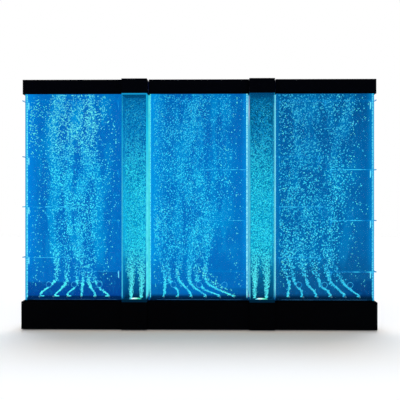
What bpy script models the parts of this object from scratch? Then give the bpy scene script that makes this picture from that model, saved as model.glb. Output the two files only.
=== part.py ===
import math

import bmesh
import bpy
from mathutils import Matrix, Vector

# Clearances. A seat gap lies between faces that touch, a fit gap lets a piece slide in or turn.
seat_gap = 0.0003
fit_gap = 0.0015
cut_margin = 0.030

# Whole wall: three panels with a column between each two, side by side on a row of cabinets.
wall_height = 1.912
panel_names = ("left", "centre", "right")
column_names = ("left", "right")
middle_panel = len(panel_names) // 2
panel_cap_width = 0.764
column_cap_width = 0.193
narrow_seam = 0.0015
wide_seam = 0.0095
column_pitch = panel_cap_width + narrow_seam + column_cap_width + wide_seam
wall_width = panel_cap_width + column_pitch * len(column_names)

# Cabinets that carry the tanks: each holds a panel and, but for the last, the column on its right.
cabinet_top = 0.217
cabinet_front = -0.141
plinth_step = 0.019
hinge_barrel = 0.0035
cabinet_back = plinth_step - cabinet_front - seat_gap - 2 * hinge_barrel
board = 0.018
rear_board = 0.012
divider_half = 0.008
floor_board = 0.014
pad_height = 0.008
pad_radius = 0.022
pad_inset = 0.055
pad_foot_share = 0.9
pad_edge_share = 0.3
pads_per_row = 5
pad_sides = 8
cable_hole_radius = 0.016
cable_hole_y = 0.060
cable_hole_z = 0.120
deck_underside = cabinet_top - board
floor_top = pad_height + floor_board

# Panel tanks: a clear sheet in front, an opal sheet behind, spacers between.
cap_wall = 0.0035
cap_play = 0.0005
tank_width = panel_cap_width - 2 * (cap_wall + cap_play)
tank_front = -0.028
tank_back = 0.036
front_sheet_depth = 0.008
back_sheet_depth = 0.006
tank_bar = 0.020
cap_height = 0.111
cap_plate = 0.006
cap_bottom = wall_height - cap_height
lit_height = cap_bottom - cabinet_top
tank_headroom = 0.026
tank_top = wall_height - cap_plate - tank_headroom
water_line_drop = 0.012
post_radius = 0.022
post_sides = 8
post_lift = 0.119
post_drop = 0.184
middle_posts = 8
middle_post_pitch = (lit_height - post_lift - post_drop) / (middle_posts - 1)
outer_post_stride = 3
outer_posts = 3
outer_post_inset = 0.181
outer_post_x = tank_width / 2 - outer_post_inset

# Columns: square tubes that stand further forward.
column_cap_lap = 0.001
column_width = column_cap_width - 2 * column_cap_lap
column_cap_front = cabinet_front - plinth_step
column_setback = 0.004
column_front = column_cap_front + column_setback
column_back = tank_back
column_middle = (column_front + column_back) / 2
column_wall = 0.005
column_floor = 0.010
column_skirt_depth = 0.015
column_skirt_wall = 0.003
column_cap_wall = 0.008
column_cap_overhang = 0.002
column_cap_back = column_back + column_cap_overhang

# Lift-off caps.
panel_cap_overhang = 0.068
panel_cap_front = tank_front - panel_cap_overhang
panel_cap_back = tank_back + panel_cap_overhang
cap_rib = 0.005
cap_rib_inset = 0.132
cap_rib_x = panel_cap_width / 2 - cap_rib_inset
cap_rib_rise = 0.015
vent_length = 0.046
vent_height = 0.005
vent_drop = 0.029
vent_z = wall_height - vent_drop
panel_vents = 8
vent_inset = 0.102
panel_vent_pitch = (panel_cap_width - 2 * vent_inset) / (panel_vents - 1)
column_vents = 2
column_vent_pitch = 0.080

# Shelves: one across each panel near its top, and two staggered rows below it.
# Their tops are shares of the lit height.
shelf_middle_gap = 0.035
shelf_setback = 0.0025
shelf_width = (tank_width - shelf_middle_gap) / 2 - shelf_setback
shelf_depth = 0.115
shelf_thickness = 0.007
shelf_corner = 0.010
corner_steps = 2
top_shelf_share = 0.968
left_shelf_shares = (0.699, 0.458, 0.215)
right_shelf_shares = (0.636, 0.393, 0.148)
gusset_height = 0.055
gusset_setback = 0.023
gusset_depth = shelf_depth - gusset_setback
gusset_curve_shares = (0.32, 0.58)
gusset_thickness = 0.005
gusset_inset = 0.0275
gusset_toe = 0.006

# Air line: a rail under the deck with its nozzles, a flow knob, a pump and a hose.
nozzles_per_panel = 6
nozzle_inset = 0.10625
nozzle_pitch = (tank_width - 2 * nozzle_inset) / (nozzles_per_panel - 1)
nozzle_setback = 0.020
nozzle_y = tank_front + nozzle_setback
column_nozzle_pitch = 0.078
stem_radius = 0.004
stem_sides = 6
collar_radius = 0.008
collar_height = 0.004
tip_radius = 0.0055
tip_height = 0.006
nozzle_rise = seat_gap + collar_height + tip_height
rail_height = 0.018
rail_half = 0.007
rail_end = 0.020
spindle_rise = 0.006
knob_inset = 0.032
knob_setback = 0.056
knob_x = panel_cap_width / 2 - knob_inset
knob_y = tank_back + knob_setback
knob_radius = 0.015
knob_height = 0.017
knob_flutes = 10
knob_flute_depth = 0.0016
pump_width = 0.150
pump_depth = 0.110
pump_body = 0.066
pump_fin = 0.012
pump_fins = 7
pump_foot = 0.010
pump_foot_radius = 0.009
pump_foot_sides = 8
pump_x_share = 0.2487
pump_x = pump_x_share * panel_cap_width
pump_y = 0.035
pump_spigot = 0.022
stub_radius = 0.006
stub_length = 0.004
hose_run = 0.058
hose_radius = 0.0045
hose_bend = 0.055
hose_steps = 12

# Lighting: bars under the opal sheets and round lights in the columns.
light_setback = 0.010
light_depth = 0.016
light_back = tank_back - light_setback
light_front = light_back - light_depth
light_inset = 0.048
light_half_length = tank_width / 2 - light_inset
light_flange = 0.006
light_flange_depth = 0.008
column_light_rim = 0.0005
column_light_radius = column_nozzle_pitch / 2 + collar_radius + column_light_rim
column_light_height = 0.007
lens_edge_shares = (0.93, 0.6)
lens_sides = 20

# Drain outlets, low on the back of each tank.
drain_rise = 0.052
drain_length = 0.034
drain_flange = 0.017
drain_pipe = 0.009
drain_cap = 0.013
drain_tip_share = 0.8
drain_length_shares = (0.16, 0.20, 0.45, 0.50, 0.92, 1)
drain_sides = 10
drain_inset = 0.078
panel_drain_x = drain_inset - tank_width / 2

# Service doors at the back.
door_board = 0.012
door_clearance = 0.002
door_slot_length = 0.070
door_slot_height = 0.006
door_slot_columns = 4
door_slot_rows = 3
door_slot_x_pitch = 0.100
door_slot_z_pitch = 0.022
door_pull_radius = 0.018
pull_steps = 8
hinge_inset = 0.112
hinge_x = panel_cap_width / 2 - hinge_inset
hinge_knuckles = 3
hinge_knuckle = 0.016
hinge_leaf = 0.0015
hinge_leaf_height = 0.012
hinge_sides = 5
hinge_tuck_share = 0.9
hinge_neck_share = 1.5
catch_width = 0.034
catch_depth = 0.014
catch_height = 0.011
catch_nose_shares = (0.7, 0.4)
catch_inset = 0.092
catch_x = panel_cap_width / 2 - catch_inset

# Electrics.
controller_size = (0.130, 0.085, 0.034)
controller_x_share = -0.039
controller_ear_share = 0.3
controller_edge_share = 0.12
supply_size = (0.160, 0.095, 0.045)
supply_x_share = -0.314
supply_body_share = 0.8
supply_fins = 9
electrics_y = 0.040
inlet_x_share = -0.16
inlet_lift = 0.0015
inlet_z = (floor_top + deck_underside) / 2 + inlet_lift
inlet_plate = (0.046, 0.003, 0.062)
inlet_body = (0.030, 0.026, 0.052)
inlet_socket = (0.022, 0.016, 0.015)
inlet_socket_drop = 0.013
inlet_pin = (0.002, 0.012, 0.005)
inlet_pin_pitch = 0.006
rocker_opening = (0.021, 0.014, 0.024)
rocker_rise = 0.013
rocker_width = rocker_opening[0] - 2 * seat_gap
rocker_half = 0.0095
rocker_seat_share = 0.35
rocker_out_share = 0.75
rocker_dip_share = 0.65
rocker_root_shares = (0.5, 0.8)
rocker_tilt = 7.0

# Facets of round pieces without a count of their own, and the edge angle that stays sharp.
round_sides = 10
smooth_angle = 35.0

# Colours, with roughness and metallic share.
looks = {
    "gloss_black": ((0.006, 0.007, 0.009), 0.08, 0.0),
    "satin_black": ((0.012, 0.013, 0.015), 0.40, 0.0),
    "clear_sheet": ((0.55, 0.82, 0.95), 0.04, 0.0),
    "opal_sheet": ((0.00, 0.20, 0.72), 0.30, 0.0),
    "clear_shelf": ((0.50, 0.85, 1.00), 0.05, 0.0),
    "lit_water": ((0.00, 0.18, 0.68), 0.05, 0.0),
    "column_water": ((0.00, 0.15, 0.36), 0.05, 0.0),
    "light_lens": ((0.75, 0.95, 1.00), 0.20, 0.0),
    "aluminium": ((0.62, 0.63, 0.65), 0.35, 1.0),
    "grey_plastic": ((0.20, 0.21, 0.22), 0.50, 0.0),
    "blue_plastic": ((0.02, 0.16, 0.42), 0.45, 0.0),
    "hose": ((0.70, 0.78, 0.80), 0.30, 0.0),
}


def panel_centre(index):
    return -wall_width / 2 + panel_cap_width / 2 + index * column_pitch


def column_centre(index):
    first = -wall_width / 2 + panel_cap_width + narrow_seam + column_cap_width / 2
    return first + index * column_pitch


def clear_scene():
    for obj in list(bpy.data.objects):
        bpy.data.objects.remove(obj, do_unlink=True)


def material(name):
    found = bpy.data.materials.get(name)
    if found:
        return found
    colour, roughness, metallic = looks[name]
    made = bpy.data.materials.new(name)
    made.use_nodes = True
    shader = made.node_tree.nodes["Principled BSDF"]
    shader.inputs["Base Color"].default_value = (*colour, 1.0)
    shader.inputs["Roughness"].default_value = roughness
    shader.inputs["Metallic"].default_value = metallic
    made.diffuse_color = (*colour, 1.0)
    return made


def to_space(axis, first, second, along):
    # An outline lies across its axis: (x, y) for Z, (x, z) for Y, (y, z) for X.
    if axis == "Z":
        return Vector((first, second, along))
    if axis == "Y":
        return Vector((first, along, second))
    return Vector((along, first, second))


def add_prism(bm, outline, low, high, axis="Z"):
    lower = [bm.verts.new(to_space(axis, *point, low)) for point in outline]
    upper = [bm.verts.new(to_space(axis, *point, high)) for point in outline]
    bm.faces.new(lower)
    bm.faces.new(upper)
    for index in range(len(outline)):
        after = (index + 1) % len(outline)
        bm.faces.new((lower[index], lower[after], upper[after], upper[index]))


def add_box(bm, x_range, y_range, z_range):
    outline = [(x, y) for x, y in zip((*x_range, *x_range[::-1]), (y_range[0],) * 2 + (y_range[1],) * 2)]
    add_prism(bm, outline, *z_range)


def centred_box(bm, centre, size, y_range):
    # The size's first and last values lie along X and Z.
    x, z = centre
    add_box(bm, (x - size[0] / 2, x + size[0] / 2), y_range, (z - size[2] / 2, z + size[2] / 2))


def grown(size, gap):
    return tuple(side + 2 * gap for side in size)


def add_lathe(bm, profile, centre, axis="Z", sides=round_sides):
    rings = []
    for radius, along in profile:
        ring = []
        for step in range(sides):
            angle = 2 * math.pi * (step + 0.5) / sides
            offset = to_space(axis, radius * math.cos(angle), radius * math.sin(angle), along)
            ring.append(bm.verts.new(Vector(centre) + offset))
        rings.append(ring)
    bm.faces.new(rings[0])
    bm.faces.new(rings[-1])
    for lower, upper in zip(rings, rings[1:]):
        for step in range(sides):
            after = (step + 1) % sides
            bm.faces.new((lower[step], lower[after], upper[after], upper[step]))


def add_rod(bm, centre, radius, low, high, axis="Z", sides=round_sides):
    add_lathe(bm, ((radius, low), (radius, high)), centre, axis, sides)


def arc_points(centre, radius, start, end, steps):
    angles = [math.radians(start + (end - start) * step / steps) for step in range(steps + 1)]
    return [(centre[0] + radius * math.cos(a), centre[1] + radius * math.sin(a)) for a in angles]


def add_object(name, bm, look, origin=(0, 0, 0), smooth=False):
    bmesh.ops.recalc_face_normals(bm, faces=bm.faces)
    bmesh.ops.translate(bm, verts=bm.verts, vec=-Vector(origin))
    mesh = bpy.data.meshes.new(name)
    bm.to_mesh(mesh)
    bm.free()
    mesh.materials.append(material(look))
    if smooth:
        mesh.shade_smooth()
        mesh.set_sharp_from_angle(angle=math.radians(smooth_angle))
    obj = bpy.data.objects.new(name, mesh)
    obj.location = origin
    bpy.context.scene.collection.objects.link(obj)
    return obj


def add_boolean(target, name, bm, operation="DIFFERENCE"):
    helper = add_object(target.name + "_" + name, bm, "grey_plastic")
    helper.hide_render = True
    helper.display_type = "WIRE"
    step = target.modifiers.new(name, "BOOLEAN")
    step.operation = operation
    step.solver = "EXACT"
    step.object = helper


# Cabinets


def plan_outline(inset, back):
    # Plan of the whole base, with a step forward under each column.
    side = wall_width / 2 - inset
    front = cabinet_front + inset
    points = [(side, back), (-side, back), (-side, front)]
    for index in range(len(column_names)):
        left = column_centre(index) - column_cap_width / 2 + inset
        right = column_centre(index) + column_cap_width / 2 - inset
        points += [(left, front), (left, front - plinth_step), (right, front - plinth_step), (right, front)]
    points.append((side, front))
    return points


def cabinet_plan(index, back):
    # Plan of one cabinet, with its own step forward where it carries a column.
    left = column_centre(index - 1) + column_cap_width / 2 + seat_gap if index else -wall_width / 2
    if index == len(column_names):
        right = wall_width / 2
        return [(right, back), (left, back), (left, cabinet_front), (right, cabinet_front)]
    right = column_centre(index) + column_cap_width / 2
    step = right - column_cap_width
    front = cabinet_front - plinth_step
    return [
        (right, back), (left, back), (left, cabinet_front),
        (step, cabinet_front), (step, front), (right, front),
    ]


def panel_bay(index):
    left = panel_centre(index) - panel_cap_width / 2
    right = left + panel_cap_width
    left += board if index == 0 else divider_half
    right -= board if index == len(panel_names) - 1 else divider_half
    return left, right


def column_bay(index):
    half = column_cap_width / 2 - divider_half
    return column_centre(index) - half, column_centre(index) + half


def panel_nozzles(index):
    first = panel_centre(index) - nozzle_pitch * (nozzles_per_panel - 1) / 2
    return [(first + step * nozzle_pitch, nozzle_y) for step in range(nozzles_per_panel)]


def column_nozzles(index):
    return [(column_centre(index) + side * column_nozzle_pitch / 2, column_middle) for side in (-1, 1)]


def knob_spot():
    return panel_centre(middle_panel) + knob_x, knob_y


def inlet_centre():
    return column_centre(0) + inlet_x_share * column_cap_width, cabinet_back, inlet_z


def cabinet_bays(index):
    bm = bmesh.new()
    heights = (pad_height, deck_underside)
    add_box(bm, panel_bay(index), (cabinet_front + board, cabinet_back + cut_margin), heights)
    if index < len(column_names):
        front = cabinet_front - plinth_step + board
        add_box(bm, column_bay(index), (front, cabinet_back - rear_board), heights)
    return bm


def deck_holes(index):
    bm = bmesh.new()
    heights = (deck_underside - cut_margin / 2, cabinet_top + cut_margin / 2)
    spots = panel_nozzles(index)
    if index < len(column_names):
        spots += column_nozzles(index)
    if index == middle_panel:
        spots.append(knob_spot())
    for x, y in spots:
        add_rod(bm, (x, y, 0), stem_radius + seat_gap, *heights, sides=stem_sides)
    middle = panel_centre(index)
    half = light_half_length + seat_gap
    add_box(bm, (middle - half, middle + half), (light_front - seat_gap, light_back + seat_gap), heights)
    return bm


def inlet_hole():
    bm = bmesh.new()
    x, y, z = inlet_centre()
    ends = (y - rear_board - cut_margin / 2, y + cut_margin / 2)
    centred_box(bm, (x, z), grown(inlet_body, seat_gap), ends)
    return bm


def divider_passages():
    # The air rail and the cables cross the bays through these.
    bm = bmesh.new()
    reach = column_cap_width / 2 + board
    rail_y = (nozzle_y - rail_half - fit_gap, nozzle_y + rail_half + fit_gap)
    rail_z = (deck_underside - rail_height - fit_gap, deck_underside)
    for index in range(len(column_names)):
        ends = (column_centre(index) - reach, column_centre(index) + reach)
        add_box(bm, ends, rail_y, rail_z)
        add_rod(bm, (0, cable_hole_y, cable_hole_z), cable_hole_radius, *ends, axis="X")
    return bm


def door_catches(index):
    # Magnet blocks under the deck, against the inner face of the door.
    bm = bmesh.new()
    nose, chin = catch_nose_shares
    back = cabinet_back - door_board - seat_gap
    top = deck_underside + board / 4
    low = deck_underside - catch_height
    outline = [(back - catch_depth, top), (back, top), (back, low), (back - catch_depth * nose, low)]
    outline.append((back - catch_depth, low + catch_height * chin))
    middle = sum(panel_bay(index)) / 2
    for side in (-1, 1):
        x = middle + side * catch_x
        add_prism(bm, outline, x - catch_width / 2, x + catch_width / 2, axis="X")
    return bm


def make_cabinets():
    for index, name in enumerate(panel_names):
        bm = bmesh.new()
        add_prism(bm, cabinet_plan(index, cabinet_back), pad_height, cabinet_top)
        cabinet = add_object("base_cabinet_" + name, bm, "gloss_black")
        recess = bmesh.new()
        outline = plan_outline(board, cabinet_back + cut_margin)
        add_prism(recess, outline, pad_height - cut_margin, floor_top + seat_gap)
        add_boolean(cabinet, "floor_recess", recess)
        add_boolean(cabinet, "bays", cabinet_bays(index))
        add_boolean(cabinet, "deck_holes", deck_holes(index))
        if not index:
            add_boolean(cabinet, "inlet_hole", inlet_hole())
        add_boolean(cabinet, "passages", divider_passages())
        add_boolean(cabinet, "catches", door_catches(index), "UNION")


def make_cabinet_floor():
    bm = bmesh.new()
    add_prism(bm, plan_outline(board + seat_gap, cabinet_back), pad_height, floor_top)
    floor = add_object("base_floor", bm, "satin_black")

    pads = bmesh.new()
    span = wall_width / 2 - board - pad_inset
    for step in range(pads_per_row):
        x = -span + 2 * span * step / (pads_per_row - 1)
        for y in (cabinet_front + board + pad_inset, cabinet_back - pad_inset):
            foot = (pad_radius * pad_foot_share, 0)
            edge = (pad_radius, pad_height * pad_edge_share)
            root = (pad_radius, pad_height + floor_board / 2)
            add_lathe(pads, (foot, edge, root), (x, y, 0), sides=pad_sides)
    add_boolean(floor, "pads", pads, "UNION")

    knuckles = bmesh.new()
    for index in range(len(panel_names)):
        for start in hinge_starts(index):
            for step in range(0, hinge_knuckles, 2):
                low = start + step * hinge_knuckle
                outline = hinge_outline(-1, floor_board / 2)
                add_prism(knuckles, outline, low + seat_gap, low + hinge_knuckle - seat_gap, axis="X")
    add_boolean(floor, "knuckles", knuckles, "UNION")


# Service doors


def hinge_axis():
    return cabinet_back + seat_gap + hinge_barrel, floor_top + door_clearance / 2


def hinge_starts(index):
    middle = sum(panel_bay(index)) / 2
    return [middle + side * hinge_x - hinge_knuckles * hinge_knuckle / 2 for side in (-1, 1)]


def hinge_outline(up, root):
    # A leaf rooted in the board beside it, going up or down, that ends in a round knuckle on the axis.
    y, z = hinge_axis()
    near = hinge_barrel * hinge_tuck_share
    outline = [(-root, hinge_leaf_height), (-root, near), (seat_gap, near)]
    outline += arc_points((hinge_barrel + seat_gap, 0), hinge_barrel, 180, 450, hinge_sides)
    outline += [(hinge_leaf, hinge_barrel * hinge_neck_share), (hinge_leaf, hinge_leaf_height)]
    return [(cabinet_back + across, z + up * along) for across, along in outline]


def slot_outline(x, z, length, height):
    reach = (length - height) / 2
    outline = arc_points((x + reach, z), height / 2, -90, 90, corner_steps)
    return outline + arc_points((x - reach, z), height / 2, 90, 270, corner_steps)


def make_doors():
    y_range = (cabinet_back - door_board, cabinet_back)
    cut_y = (y_range[0] - cut_margin, y_range[1] + cut_margin)
    low, high = floor_top + door_clearance, deck_underside - door_clearance
    for index, name in enumerate(panel_names):
        left, right = panel_bay(index)
        middle = (left + right) / 2
        bm = bmesh.new()
        add_box(bm, (left + door_clearance, right - door_clearance), y_range, (low, high))
        door = add_object("service_door_" + name, bm, "satin_black", (middle, *hinge_axis()))

        slots = bmesh.new()
        for column in range(door_slot_columns):
            x = middle + (column - (door_slot_columns - 1) / 2) * door_slot_x_pitch
            for row in range(door_slot_rows):
                z = (low + high) / 2 + (row - (door_slot_rows - 1) / 2) * door_slot_z_pitch
                outline = slot_outline(x, z, door_slot_length, door_slot_height)
                add_prism(slots, outline, *cut_y, axis="Y")
        pull = arc_points((middle, high + fit_gap), door_pull_radius, -180, 0, pull_steps)
        add_prism(slots, pull, *cut_y, axis="Y")
        add_boolean(door, "slots", slots)

        knuckles = bmesh.new()
        for start in hinge_starts(index):
            ends = (start + hinge_knuckle + seat_gap, start + 2 * hinge_knuckle - seat_gap)
            add_prism(knuckles, hinge_outline(1, door_board / 2), *ends, axis="X")
        add_boolean(door, "knuckles", knuckles, "UNION")


# Panel tanks


def spacer_spots():
    base = cabinet_top + post_lift
    spots = [(0, base + step * middle_post_pitch) for step in range(middle_posts)]
    for step in range(outer_posts):
        z = base + step * outer_post_stride * middle_post_pitch
        spots += [(side * outer_post_x, z) for side in (-1, 1)]
    return spots


def add_drain(tank, x):
    # A flanged outlet with a screwed cap, low on the back of a tank.
    radii = (drain_flange, drain_pipe, drain_pipe, drain_cap, drain_cap, drain_cap * drain_tip_share)
    profile = [(drain_flange, tank_back - back_sheet_depth / 2)]
    for radius, share in zip(radii, drain_length_shares):
        profile.append((radius, tank_back + drain_length * share))
    bm = bmesh.new()
    add_lathe(bm, profile, (x, 0, cabinet_top + drain_rise), axis="Y", sides=drain_sides)
    add_boolean(tank, "drain", bm, "UNION")


def make_panel_tanks():
    low = cabinet_top + seat_gap
    half = tank_width / 2
    inner = half - tank_bar
    sheet_back = tank_front + front_sheet_depth
    inner_back = tank_back - back_sheet_depth
    for index, name in enumerate(panel_names):
        x = panel_centre(index)
        bm = bmesh.new()
        add_box(bm, (x - half, x + half), (tank_front, sheet_back), (low, tank_top))
        add_object("front_sheet_" + name, bm, "clear_sheet")

        bm = bmesh.new()
        add_box(bm, (x - half, x + half), (sheet_back + seat_gap, tank_back), (low, tank_top))
        tank = add_object("tank_body_" + name, bm, "opal_sheet")
        cavity = bmesh.new()
        heights = (low + tank_bar, tank_top + cut_margin)
        add_box(cavity, (x - inner, x + inner), (tank_front, inner_back), heights)
        add_boolean(tank, "cavity", cavity)
        posts = bmesh.new()
        ends = (sheet_back + seat_gap, inner_back + back_sheet_depth / 2)
        for offset, z in spacer_spots():
            add_rod(posts, (x + offset, 0, z), post_radius, *ends, axis="Y", sides=post_sides)
        add_boolean(tank, "posts", posts, "UNION")
        holes = bmesh.new()
        for spot_x, spot_y in panel_nozzles(index):
            ends = (low - cut_margin, low + tank_bar + cut_margin)
            add_rod(holes, (spot_x, spot_y, 0), stem_radius + seat_gap, *ends, sides=stem_sides)
        add_boolean(tank, "stem_holes", holes)
        add_drain(tank, x + panel_drain_x)

        water = bmesh.new()
        bottom = low + tank_bar + nozzle_rise + seat_gap
        water_y = (sheet_back + seat_gap, inner_back - seat_gap)
        surface = cap_bottom - water_line_drop
        add_box(water, (x - inner + seat_gap, x + inner - seat_gap), water_y, (bottom, surface))
        body = add_object("panel_water_" + name, water, "lit_water")
        wells = bmesh.new()
        ends = (sheet_back - cut_margin, inner_back + cut_margin)
        for offset, z in spacer_spots():
            add_rod(wells, (x + offset, 0, z), post_radius + seat_gap, *ends, axis="Y", sides=post_sides)
        add_boolean(body, "post_wells", wells)


# Columns


def make_columns():
    low = cabinet_top + seat_gap
    top = cap_bottom - seat_gap
    for index, name in enumerate(column_names):
        x = column_centre(index)
        half = column_width / 2
        inner = half - column_wall
        bore_y = (column_front + column_wall, column_back - column_wall)
        bm = bmesh.new()
        add_box(bm, (x - half, x + half), (column_front, column_back), (low, top))
        tank = add_object("column_tank_" + name, bm, "clear_sheet")
        bore = bmesh.new()
        add_box(bore, (x - inner, x + inner), bore_y, (low + column_floor, top + cut_margin))
        add_boolean(tank, "bore", bore)
        holes = bmesh.new()
        for spot_x, spot_y in column_nozzles(index):
            ends = (low - cut_margin, low + column_floor + cut_margin)
            add_rod(holes, (spot_x, spot_y, 0), stem_radius + seat_gap, *ends, sides=stem_sides)
        add_boolean(tank, "stem_holes", holes)
        add_drain(tank, x)

        water = bmesh.new()
        bottom = low + column_floor + nozzle_rise + seat_gap
        surface = top - column_skirt_depth - fit_gap
        side = inner - seat_gap
        water_y = (bore_y[0] + seat_gap, bore_y[1] - seat_gap)
        add_box(water, (x - side, x + side), water_y, (bottom, surface))
        add_object("column_water_" + name, water, "column_water")


# Caps


def make_panel_caps():
    for index, name in enumerate(panel_names):
        x = panel_centre(index)
        half = panel_cap_width / 2
        bm = bmesh.new()
        add_box(bm, (x - half, x + half), (panel_cap_front, panel_cap_back), (cap_bottom, wall_height))
        cap = add_object("panel_cap_" + name, bm, "gloss_black", (x, 0, cap_bottom))

        hollow = bmesh.new()
        inner_y = (panel_cap_front + cap_wall, panel_cap_back - cap_wall)
        heights = (cap_bottom - cut_margin, wall_height - cap_plate)
        rib = cap_rib / 2
        for left, right in (
            (-half + cap_wall, -cap_rib_x - rib),
            (-cap_rib_x + rib, cap_rib_x - rib),
            (cap_rib_x + rib, half - cap_wall),
        ):
            add_box(hollow, (x + left, x + right), inner_y, heights)
        add_boolean(cap, "hollow", hollow)

        notch = bmesh.new()
        clear = half - cap_wall
        y_range = (tank_front - fit_gap, tank_back + fit_gap)
        add_box(notch, (x - clear, x + clear), y_range, (cap_bottom - cut_margin, tank_top + seat_gap))
        add_boolean(cap, "notch", notch)
        relief = bmesh.new()
        add_box(relief, (x - clear, x + clear), inner_y, (cap_bottom - cut_margin, cap_bottom + cap_rib_rise))
        add_boolean(cap, "rib_relief", relief)

        vents = bmesh.new()
        for step in range(panel_vents):
            offset = (step - (panel_vents - 1) / 2) * panel_vent_pitch
            outline = slot_outline(x + offset, vent_z, vent_length, vent_height)
            add_prism(vents, outline, panel_cap_back - cut_margin / 2, panel_cap_back + cut_margin, axis="Y")
        add_boolean(cap, "vents", vents)


def make_column_caps():
    for index, name in enumerate(column_names):
        x = column_centre(index)
        half = column_cap_width / 2
        bm = bmesh.new()
        add_box(bm, (x - half, x + half), (column_cap_front, column_cap_back), (cap_bottom, wall_height))
        cap = add_object("column_cap_" + name, bm, "gloss_black", (x, 0, cap_bottom))

        skirt = bmesh.new()
        skirt_half = column_width / 2 - column_wall - fit_gap / 2
        skirt_y = (column_front + column_wall + fit_gap / 2, column_back - column_wall - fit_gap / 2)
        heights = (cap_bottom - column_skirt_depth, cap_bottom + column_skirt_depth)
        add_box(skirt, (x - skirt_half, x + skirt_half), skirt_y, heights)
        add_boolean(cap, "skirt", skirt, "UNION")

        hollow = bmesh.new()
        clear = skirt_half - column_skirt_wall
        clear_y = (skirt_y[0] + column_skirt_wall, skirt_y[1] - column_skirt_wall)
        add_box(hollow, (x - clear, x + clear), clear_y, (cap_bottom - cut_margin, wall_height - cap_plate))
        add_boolean(cap, "hollow", hollow)

        vents = bmesh.new()
        for step in range(column_vents):
            offset = (step - (column_vents - 1) / 2) * column_vent_pitch
            outline = slot_outline(x + offset, vent_z, vent_length, vent_height)
            ends = (column_cap_back - column_cap_wall - cut_margin, column_cap_back + cut_margin)
            add_prism(vents, outline, *ends, axis="Y")
        add_boolean(cap, "vents", vents)


# Shelves


def shelf_mesh(width, gusset_spots):
    # One shelf about its own middle, its back edge at y zero, with a gusset under each spot.
    half = width / 2
    outline = [(half, 0), (-half, 0)]
    near = shelf_corner - shelf_depth
    outline += arc_points((shelf_corner - half, near), shelf_corner, 180, 270, corner_steps)
    outline += arc_points((half - shelf_corner, near), shelf_corner, 270, 360, corner_steps)
    bm = bmesh.new()
    add_prism(bm, outline, -shelf_thickness, 0)
    shelf = add_object("shelf_pattern", bm, "clear_shelf")

    gussets = bmesh.new()
    root = -shelf_thickness / 2
    tip = -shelf_thickness - gusset_height
    across, up = gusset_curve_shares
    profile = [
        (0, root), (0, tip), (-gusset_toe, tip), (-gusset_depth * across, tip + gusset_height * up),
        (-gusset_depth, -shelf_thickness - gusset_toe), (-gusset_depth, root),
    ]
    for x in gusset_spots:
        add_prism(gussets, profile, x - gusset_thickness / 2, x + gusset_thickness / 2, axis="X")
    add_boolean(shelf, "gussets", gussets, "UNION")
    bpy.context.view_layer.update()
    graph = bpy.context.evaluated_depsgraph_get()
    mesh = bpy.data.meshes.new_from_object(shelf.evaluated_get(graph))
    mesh.name = "shelf"
    bpy.data.objects.remove(shelf, do_unlink=True)
    return mesh


def place_shelf(name, mesh, x, share):
    shelf = bpy.data.objects.new("shelf_" + name, mesh)
    shelf.location = (x, tank_front - seat_gap, cabinet_top + lit_height * share)
    bpy.context.scene.collection.objects.link(shelf)


def make_shelves():
    reach = shelf_width / 2 - gusset_inset
    short = shelf_mesh(shelf_width, (-reach, reach))
    full_width = 2 * shelf_width + shelf_middle_gap
    reach = full_width / 2 - gusset_inset
    full = shelf_mesh(full_width, (-reach, 0, reach))
    aside = (shelf_middle_gap + shelf_width) / 2
    for index, name in enumerate(panel_names):
        x = panel_centre(index)
        place_shelf(name + "_top", full, x, top_shelf_share)
        for step, share in enumerate(left_shelf_shares):
            place_shelf(f"{name}_a{step + 1}", short, x - aside, share)
        for step, share in enumerate(right_shelf_shares):
            place_shelf(f"{name}_b{step + 1}", short, x + aside, share)


# Air line


def nozzle_profile(tank_floor):
    seat = cabinet_top + seat_gap + tank_floor + seat_gap
    return (
        (stem_radius, deck_underside - seat_gap - rail_height / 2),
        (stem_radius, seat),
        (collar_radius, seat),
        (collar_radius, seat + collar_height),
        (tip_radius, seat + nozzle_rise - seat_gap),
    )


def column_branch(index):
    # A T in plan: a leg forward from the rail and a bar under the two column nozzles.
    x = column_centre(index)
    reach = column_nozzle_pitch / 2 + rail_end / 2
    front, back = column_middle - rail_half, column_middle + rail_half
    root = nozzle_y
    return [
        (x - reach, front), (x + reach, front), (x + reach, back), (x + rail_half, back),
        (x + rail_half, root), (x - rail_half, root), (x - rail_half, back), (x - reach, back),
    ]


def make_air_rail():
    top = deck_underside - seat_gap
    heights = (top - rail_height, top)
    reach = panel_nozzles(len(panel_names) - 1)[-1][0] + rail_end
    bm = bmesh.new()
    add_box(bm, (-reach, reach), (nozzle_y - rail_half, nozzle_y + rail_half), heights)
    rail = add_object("air_rail", bm, "grey_plastic")

    branches = bmesh.new()
    for index in range(len(column_names)):
        add_prism(branches, column_branch(index), heights[0] + seat_gap, heights[1] - seat_gap)
    x, y = knob_spot()
    arm_z = (heights[0] + seat_gap, heights[1] - seat_gap)
    add_box(branches, (x - rail_half, x + rail_half), (nozzle_y, y + rail_half), arm_z)
    add_boolean(rail, "branches", branches, "UNION")

    nozzles = bmesh.new()
    for index in range(len(panel_names)):
        for spot_x, spot_y in panel_nozzles(index):
            add_lathe(nozzles, nozzle_profile(tank_bar), (spot_x, spot_y, 0), sides=stem_sides)
    for index in range(len(column_names)):
        for spot_x, spot_y in column_nozzles(index):
            add_lathe(nozzles, nozzle_profile(column_floor), (spot_x, spot_y, 0), sides=stem_sides)
    ends = (top - rail_height / 2, cabinet_top + spindle_rise)
    add_rod(nozzles, (x, y, 0), stem_radius, *ends, sides=stem_sides)
    stub = rail_stub()
    add_rod(nozzles, (*stub[:2], 0), stub_radius, stub[2], top - rail_height / 2, sides=stem_sides)
    add_boolean(rail, "nozzles", nozzles, "UNION")


def rail_stub():
    # Lower end of the hose stub under the rail.
    x = pump_outlet()[0] - hose_run
    return x, nozzle_y, deck_underside - seat_gap - rail_height - stub_length


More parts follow.
